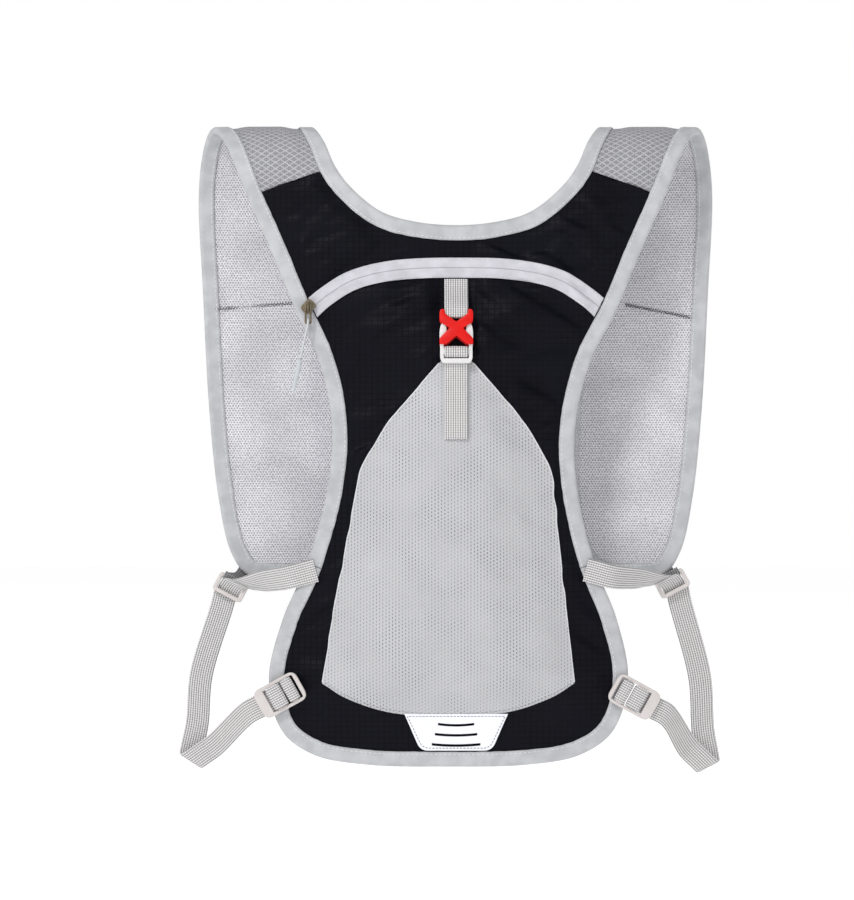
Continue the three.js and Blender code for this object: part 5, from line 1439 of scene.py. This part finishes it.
def over_bar(low, high, half):
    """Rows of webbing that comes up beside a flat bar, passes over it and goes down."""
    return [
        (low - BESIDE, -half * 0.9), (low - BESIDE, half * 0.9), (low + 0.4, half + LAYER),
        (high - 0.4, half + LAYER), (high + BESIDE, half * 0.9), (high + BESIDE, -half * 0.9),
    ]


def round_bar(y, reach):
    """Rows of webbing folded once about a bar whose middle lies at y."""
    return [(y + 1.2, reach), (y - reach * 0.82, reach * 0.82), (y - reach, 0),
            (y - reach * 0.82, -reach * 0.82), (y + 1.2, -reach)]


BUCKLE_LENGTH = 34.4
HALF = BUCKLE_LENGTH / 2
PLUG_THICKNESS = 3
STRAP_HEIGHT = TRIM_TOP + LAYER
BUCKLE_HEIGHT = STRAP_HEIGHT + LAYER + PLUG_THICKNESS / 2
SOCKET_BAR = 2.4
SOCKET_BAR_Y = HALF - 1.2 - SOCKET_BAR / 2
BUCKLE_DROP = 135
buckle_frame = cloth_frame(0, float(s_at("back", BUCKLE_DROP)), BUCKLE_HEIGHT)
buckle_across = buckle_frame[:3, 0]
fold_reach = SOCKET_BAR / 2 + LAYER
upper_start = ZIP_DROP + TAPE_WIDTH / 2 + 1


def cloth_station(drop, height):
    """Station of the strap at a height over the smooth cloth."""
    s = s_at("back", drop)
    return laid(0, s, height + fullness(np.array(0.0), s)), buckle_across


webbing_piece("strap_upper", cross_lines([
    cloth_station(upper_start, CLOTH_TOP + LAYER + 0.4),
    cloth_station(upper_start + 5, CLOTH_TOP + LAYER + 2),
    *stations_in(buckle_frame, [(SOCKET_BAR_Y + 4, fold_reach),
                                *round_bar(SOCKET_BAR_Y, fold_reach),
                                (SOCKET_BAR_Y + 4, -fold_reach)]),
], 110), WEBBING, "webbing", "webbing_upper")

under_plug = -PLUG_THICKNESS / 2 - LAYER
BAR_LOW = -HALF + 3 + 2.6
BAR_HIGH = BAR_LOW + 3.4


def pocket_station(drop):
    """Station of the strap on top of the pocket."""
    s = np.array([float(s_at("back", drop))])
    foot = pocket_foot(np.array([0.0]), s)
    return laid(0, s[0], float(foot[0]) + CLOTH + LAYER), buckle_across


webbing_piece("strap_lower", cross_lines([
    *[pocket_station(drop) for drop in np.linspace(200, POCKET_TOP + 10, 5)],
    *stations_in(buckle_frame, [
        (-HALF, under_plug), (BAR_LOW - BESIDE - 0.8, under_plug + 0.1),
        *over_bar(BAR_LOW, BAR_HIGH, PLUG_THICKNESS / 2),
        (BAR_HIGH + 0.5, under_plug + 0.2), (BAR_LOW + 1.2, under_plug)]),
], 170), WEBBING, "webbing", "webbing_lower")

RING_WIRE = 2.6
RING_LENGTH = 13
RING_INNER = RING_LENGTH / 2 - RING_WIRE
BAR_Y = RING_LENGTH / 2 - RING_WIRE / 2
LOCK_LENGTH = 31
LOCK_WIDTH = 20
LOCK_THICKNESS = 2.6
LOCK_BARS = [(0, 0.106), (0.171, 0.22), (0.33, 0.53), (0.677, 0.8), (0.913, 1)]
LOCK_RIM = 2.1
LOCK_HALF = LOCK_THICKNESS / 2
LOCK_OVER = LOCK_HALF + LAYER
LOCK_TURN = 61
RING_HALF = (WEBBING_WIDTH + 0.8 + 2 * RING_WIRE) / 2
RING_REACH = RING_WIRE / 2 + LAYER
RING_TURN = 28
FOLD_RADIUS = 4
FOLD_DEPTH = 8
RUN_BOW = 4
TIE_FALL = math.radians(15)

# Each side's ring, fold and ladder lock: how far out from the middle, and how far down
SIDES = [
    (-1, "left", (146, 295.5), (171.5, 402.5), (112, 362.6)),
    (1, "right", (140.5, 293), (163.5, 406.5), (113.3, 363.8)),
]


def rounded_loop(x0, y0, x1, y1, radius, steps=7):
    """Rectangle with rounded corners, as one closed run of points."""
    angle = np.linspace(0, np.pi / 2, steps)
    arc = np.stack([np.cos(angle), np.sin(angle)], -1) * radius
    turn = np.array([[0, 1], [-1, 0]])
    corners = [(x1 - radius, y1 - radius), (x0 + radius, y1 - radius),
               (x0 + radius, y0 + radius), (x1 - radius, y0 + radius)]
    parts = []
    for corner in corners:
        parts.append(arc + corner)
        arc = arc @ turn
    return np.vstack(parts)


def bevelled_copy(name, node, width):
    """Metal copy of a CAD node: its points joined, its flats whole, its edges rounded."""
    mesh = bpy.data.objects[node].data.copy()
    mesh.name = name
    work = bmesh.new()
    work.from_mesh(mesh)
    bmesh.ops.remove_doubles(work, verts=work.verts, dist=1e-6)
    bmesh.ops.dissolve_limit(work, angle_limit=math.radians(1), verts=work.verts,
                             edges=work.edges)
    sharp = [e for e in work.edges
             if len(e.link_faces) == 2 and e.calc_face_angle(0) > math.radians(50)]
    bmesh.ops.bevel(work, geom=sharp, offset=width * MM, segments=3, profile=0.5,
                    affect="EDGES", clamp_overlap=True)
    work.to_mesh(mesh)
    work.free()
    shade_smooth(mesh, 40)
    dress(linked(name, mesh), METAL, "metal", node)


def in_place(place):
    """Lift that carries a plate's points into a frame."""
    return lambda local: in_frame(place, local)


BUCKLE_WIDTH = 21
BUCKLE_DEPTH = 7
SOCKET_WALL = 1.7
CROSS_Y = HALF - 11.2
SOCKET_FOOT = HALF - 22.4


def mirrored(right):
    """Closed outline from its right side, given from its top middle to its low middle."""
    right = np.asarray(right, float)
    return np.vstack([right, (right * [-1, 1])[-2:0:-1]])


def eased(loop, radius, steps=5):
    """Closed outline whose corners become parabolas that start at most radius before each
    corner and never past the middle of a side."""
    before, after = np.roll(loop, 1, 0) - loop, np.roll(loop, -1, 0) - loop

    def reach(way):
        size = np.linalg.norm(way, axis=1, keepdims=True)
        return loop + way / size * np.minimum(radius, size * 0.47)

    t = np.linspace(0, 1, steps)[None, :, None]
    a, b = reach(before)[:, None], reach(after)[:, None]
    return parabola(a, loop[:, None], b, t).reshape(-1, 2)


def cross_outline():
    """The socket's face: four straight arms, the upper two with broad rounded ends."""
    side_x = BUCKLE_WIDTH / 2 + 0.2
    right = [
        (0, 3.1), (7.2, 8.3), (7.4, 10.9), (8.7, 11.5), (10.2, 10.9), (side_x, 9),
        (side_x, 4.6), (side_x - 1.2, 2.4), (4.2, -0.9), (side_x, -7.7), (side_x, -11.4),
        (6.5, -11.4), (0, -5.9),
    ]
    return eased(mirrored(np.array(right) + [0, CROSS_Y]), 1.1)


def fused(name, parts, material, slot, node):
    """One piece from several, whose data blocks are joined."""
    work = bmesh.new()
    for part in parts:
        work.from_mesh(part.data)
        bpy.data.objects.remove(part)
    mesh = bpy.data.meshes.new(name)
    work.to_mesh(mesh)
    work.free()
    mesh.set_sharp_from_angle(angle=math.radians(SHARP_ANGLE))
    dress(linked(name, mesh), material, slot, node)


def plate_at(name, loops, thickness, z, bevel=0.35):
    """Plate of the buckle with its middle at height z in the buckle's frame."""
    return flat_plate(name, loops, thickness, bevel,
                      lambda local: in_frame(buckle_frame, local + [0, 0, z]))


face = cross_outline()
level = BUCKLE_DEPTH / 2 - SOCKET_WALL / 2
post_x = BUCKLE_WIDTH / 2 - 0.85
posts = [rounded_loop(side * post_x - 0.8, y - h, side * post_x + 0.8, y + h, 0.5)
         for side in (-1, 1) for y, h in ((HALF - 3.6, 2.4), (SOCKET_FOOT + 1.7, 1.6))]
bar = rounded_loop(-post_x, SOCKET_BAR_Y - 1.2, post_x, SOCKET_BAR_Y + 1.2, 0.6)
fused("socket", [
    plate_at("cross_front", [face], SOCKET_WALL, level),
    plate_at("cross_back", [face], SOCKET_WALL, -level),
    *[plate_at(f"post_{k}", [post], BUCKLE_DEPTH - 1, 0) for k, post in enumerate(posts)],
    plate_at("socket_bar", [bar], SOCKET_BAR, 0, 0.6),
], RED, "red_plastic", "buckle_socket")

PLUG_HALF = 10.1
SLOT_X = WEBBING_WIDTH / 2 + 0.4
plug_body = [
    (0, BAR_HIGH), (SLOT_X, BAR_HIGH), (SLOT_X, SOCKET_FOOT + 1), (6.4, CROSS_Y - 5),
    (6, CROSS_Y - 1.5), (6.6, CROSS_Y + 1.6), (8.1, CROSS_Y + 3), (9.8, CROSS_Y + 1.8),
    (10.6, CROSS_Y - 2), (10.7, CROSS_Y - 6), (PLUG_HALF + 0.2, SOCKET_FOOT - 1),
    (PLUG_HALF + 0.2, -HALF + 3), (PLUG_HALF - 1.2, -HALF), (0, -HALF),
]
ear_outline = eased(mirrored(plug_body), 1.6)
foot_slot = rounded_loop(-SLOT_X, -HALF + 3, SLOT_X, BAR_LOW, 0.5)
plug_plate = plate_at("plug_body", [ear_outline, foot_slot], PLUG_THICKNESS, 0, 0.5)
fused("plug", [plug_plate], WHITE, "white_plastic", "buckle_plug")
bevelled_copy("slider", "zip_slider", 0.25)
bevelled_copy("slider_tab", "zip_pull_tab", 0.2)


def edge_point(index, inward):
    """Pattern point so far inward of the outline's point of that number."""
    index %= RING_COUNT
    return RING[index] + RING_INWARD[index] * inward


def ring_place(side, out, down):
    """Frame of a square ring behind the front panel's tip, turned outwards."""
    tip = edge_point(side * MARKS["tip"], 0)
    depth = laid(*tip, 0)[1] - BINDING_TOP - LAYER - RING_WIRE / 2
    flat = frame_from(np.array([side * out, depth, -down]), np.array([1.0, 0, 0]),
                      np.array([0, 0, 1.0]))
    return turned(flat, side * RING_TURN)


def square_ring(name, place):
    """Square plastic loop."""
    hole = RING_HALF - RING_WIRE
    flat_piece(f"square_ring_{name}", [
        rounded_loop(-RING_HALF, -RING_LENGTH / 2, RING_HALF, RING_LENGTH / 2, 2.4),
        rounded_loop(-hole, -RING_INNER, hole, RING_INNER, 0.8),
    ], RING_WIRE, 0.8, in_place(place), PALE, "white_plastic", f"ring_{name}")


def ring_tab(side, name, place):
    """Grey tab from the front panel's tip round the ring's upper bar."""
    tip, step = side * MARKS["tip"], RING_SUB // 12
    before, after = (laid(*edge_point(tip + k, 0), 0) for k in (-step, step))
    tip_along = unit(before - after)
    panel = [(laid(*edge_point(tip, inward), n), tip_along) for inward, n in (
        (BINDING_WIDTH * 0.7, BINDING_TOP + LAYER), (-1.5, BINDING_TOP + LAYER), (-4, 1),
    )]
    fold = [*round_bar(BAR_Y, RING_REACH)[::-1], (BAR_Y + 3, RING_REACH)]
    webbing_piece(f"tab_{name}", cross_lines(panel + stations_in(place, fold), 80), TAB,
                  "tab_webbing", f"ring_tab_{name}")


def waist_strap(side, name, place):
    """Webbing from under the binding at the pack's side out to the ring and through it."""
    tie = edge_point(side * MARKS["tie"], BINDING_WIDTH)
    bar = place[:3, 0] * side

    def tie_station(run):
        """Station so far out along the strap's sewn end."""
        x = tie[0] + side * math.cos(TIE_FALL) * run
        return (laid(x, tie[1] - math.sin(TIE_FALL) * run, BINDING_TOP + LAYER),
                np.array([side * math.sin(TIE_FALL), 0, math.cos(TIE_FALL)]))

    start = tie_station(BINDING_WIDTH + 11)
    through = [(in_frame(place, [-side * x, y, z]), bar) for x, y, z in (
        (7, BAR_Y + 0.8, RING_REACH + 2.9), (1.5, BAR_Y - 1.2, RING_REACH + 2.4), (0, -0.5, 0),
        (0, -RING_INNER - 0.4, -RING_REACH - 0.3), (0, -BAR_Y - 2, -RING_REACH - 0.2),
    )]
    between = (start[0] + through[0][0]) / 2, unit(start[1] * 0.7 + bar * 0.3)
    webbing_piece(f"strap_waist_{name}", cross_lines([
        tie_station(3.5), tie_station(BINDING_WIDTH), start, between, *through,
    ], 130), WEBBING, "webbing", f"waist_webbing_{name}")


def lock_y(share):
    """Place along a ladder lock's frame at a share of its length."""
    return LOCK_LENGTH * (share - 0.5)


THIRD_BAR, FOURTH_BAR = ([lock_y(share) for share in LOCK_BARS[i]] for i in (2, 3))


def lock_place(side, out, down):
    """Frame of a ladder lock over the hem's corner, turned towards the strap's fold."""
    height = BINDING_TOP + 2.4 * LAYER + LOCK_HALF
    return turned(cloth_frame(side * out, float(s_at("back", down)), height), side * LOCK_TURN)


def ladder_lock(name, place):
    """Ladder lock: a rounded plate with three slots between its bars."""
    half, hole = LOCK_WIDTH / 2, LOCK_WIDTH / 2 - LOCK_RIM
    corners = np.array([(half, lock_y(1)), (-half, lock_y(1)), (-half, lock_y(0)),
                        (half, lock_y(0))])
    holes = [rounded_loop(-hole, lock_y(a[1]), hole, lock_y(b[0]), 0.6)
             for a, b in zip(LOCK_BARS[1:], LOCK_BARS[2:])]
    flat_piece(f"ladder_{name}", [eased(corners, 5.5, 12), *holes], LOCK_THICKNESS, 0.6,
               in_place(place), PALE, "white_plastic", f"ladder_lock_{name}")


def lock_tab(name, place):
    """Short webbing tab over the lock's fourth bar."""
    webbing_piece(f"tab_lock_{name}", cross_lines(stations_in(place, [
        *over_bar(*FOURTH_BAR, LOCK_HALF), (FOURTH_BAR[1] + 0.4, -LOCK_OVER),
        (FOURTH_BAR[0] - 0.6, -LOCK_OVER - 0.1),
    ]), 80), WEBBING, "webbing", f"lock_tab_{name}")


def fold_grid(at, axis, down, skew):
    """Half turn of webbing about a level line that lies skew to it."""
    wraps = math.pi * FOLD_RADIUS
    margin = WEBBING_WIDTH / 2 * math.tan(abs(skew)) + 1
    w = np.linspace(-WEBBING_WIDTH / 2, WEBBING_WIDTH / 2, COLUMNS + 1)[None]
    run = np.linspace(-margin, wraps / math.cos(skew) + margin, 60)[:, None]
    h = run * math.cos(skew) - w * math.sin(skew)
    e = run * math.sin(skew) + w * math.cos(skew)
    angle = np.clip(h, 0, wraps) / FOLD_RADIUS
    go = np.minimum(h, 0) - np.maximum(h - wraps, 0) + FOLD_RADIUS * np.sin(angle)
    depth = FOLD_RADIUS * (1 - np.cos(angle))
    return np.stack([at[0] + axis[0] * e + down[0] * go, at[1] - depth,
                     at[2] + axis[1] * e + down[1] * go], -1)


def adjuster(side, name, ring_at, lock_at, out, down):
    """Webbing from behind the ring down to its fold and up into the ladder lock."""
    top = in_frame(ring_at, [side * 2.5, -2.5, -RING_REACH - 2 * LAYER])
    lip = in_frame(lock_at, [0, lock_y(0) - 1, 0])
    fold_at = np.array([side * out, top[1] - FOLD_DEPTH, -down])
    fall, rise = unit((fold_at - top)[[0, 2]]), unit((lip - fold_at)[[0, 2]])
    heading = unit(fall - rise)
    axis = np.array([-heading[1], heading[0]]) * -side
    turn = fold_grid(fold_at, axis, heading, math.atan2(fall @ axis, fall @ heading))
    leaving, rising = ((line[COLUMNS // 2], unit(line[-1] - line[0])) for line in turn[[0, -1]])
    fall, rise = (np.array([x, 0, z]) for x, z in (fall, rise))
    middle, across = leaving
    bow = across * RUN_BOW * np.sign(across[0] * side)
    run_down = cross_lines([
        (top, across), (top + fall * 10, across), (top * 0.45 + middle * 0.55 + bow, across),
        (middle - fall * 16, across), leaving,
    ], 60)
    run_up = cross_lines([
        rising, (rising[0] + rise * 10, rising[1]),
        *stations_in(lock_at, [
            (lock_y(0) - 9, -LOCK_OVER - 1), (lock_y(0), -LOCK_OVER),
            (THIRD_BAR[0] - BESIDE - 0.9, -LOCK_OVER + 0.1), *over_bar(*THIRD_BAR, LOCK_HALF),
        ], lock_at[:3, 0] * -side),
    ], 150)
    webbing_piece(f"strap_adjuster_{name}", np.vstack([run_down[:-1], turn, run_up[1:]]),
                  WEBBING, "webbing", f"adjuster_webbing_{name}")


for side, name, ring, fold, lock in SIDES:
    ring_frame, lock_frame = ring_place(side, *ring), lock_place(side, *lock)
    square_ring(name, ring_frame)
    ring_tab(side, name, ring_frame)
    waist_strap(side, name, ring_frame)
    ladder_lock(name, lock_frame)
    lock_tab(name, lock_frame)
    adjuster(side, name, ring_frame, lock_frame, *fold)

# Floor and light

FLOOR_REACH = 6
FLOOR_Z = -0.47
floor_mesh = bpy.data.meshes.new("floor")
floor_corners = [(-1, -1), (1, -1), (1, 1), (-1, 1)]
floor_mesh.from_pydata([(x * FLOOR_REACH, y * FLOOR_REACH, FLOOR_Z) for x, y in floor_corners],
                       [], [(0, 1, 2, 3)])
floor = linked("floor", floor_mesh)
floor_finish = Finish("pale_floor", Base_Color=(0.8, 0.8, 0.8, 1), Roughness=0.9,
                      Specular_IOR_Level=0.1, Emission_Color=(1, 1, 1, 1),
                      Emission_Strength=0.53)
floor_mesh.materials.append(floor_finish.material)

bpy.context.scene.view_settings.view_transform = "Standard"
world = bpy.data.worlds.new("studio")
bpy.context.scene.world = world
world.use_nodes = True
background = world.node_tree.nodes["Background"]
background.inputs["Color"].default_value = (1, 1, 1, 1)
sky = world.node_tree.nodes.new("ShaderNodeTexCoord")
parts = world.node_tree.nodes.new("ShaderNodeSeparateXYZ")
fade = world.node_tree.nodes.new("ShaderNodeMapRange")
fade.interpolation_type = "SMOOTHSTEP"
for key, value in (("From Min", 0.13), ("From Max", 0.5), ("To Min", 1.0), ("To Max", 0.5)):
    fade.inputs[key].default_value = value
world.node_tree.links.new(sky.outputs["Generated"], parts.inputs[0])
world.node_tree.links.new(parts.outputs["Z"], fade.inputs["Value"])
world.node_tree.links.new(fade.outputs[0], background.inputs["Strength"])


def soft_light(name, place, size, power):
    """Square soft light that looks at the pack's middle."""
    data = bpy.data.lights.new(name, "AREA")
    data.size, data.energy = size, power
    made = linked(name, data)
    made.location = place
    aim = Vector((0, 0, -0.2)) - Vector(place)
    made.rotation_euler = aim.to_track_quat("-Z", "Y").to_euler()


soft_light("key", (-1.0, -1.8, 1.5), 0.5, 29)
soft_light("rim", (1.8, 1.6, 1.2), 1.0, 10)
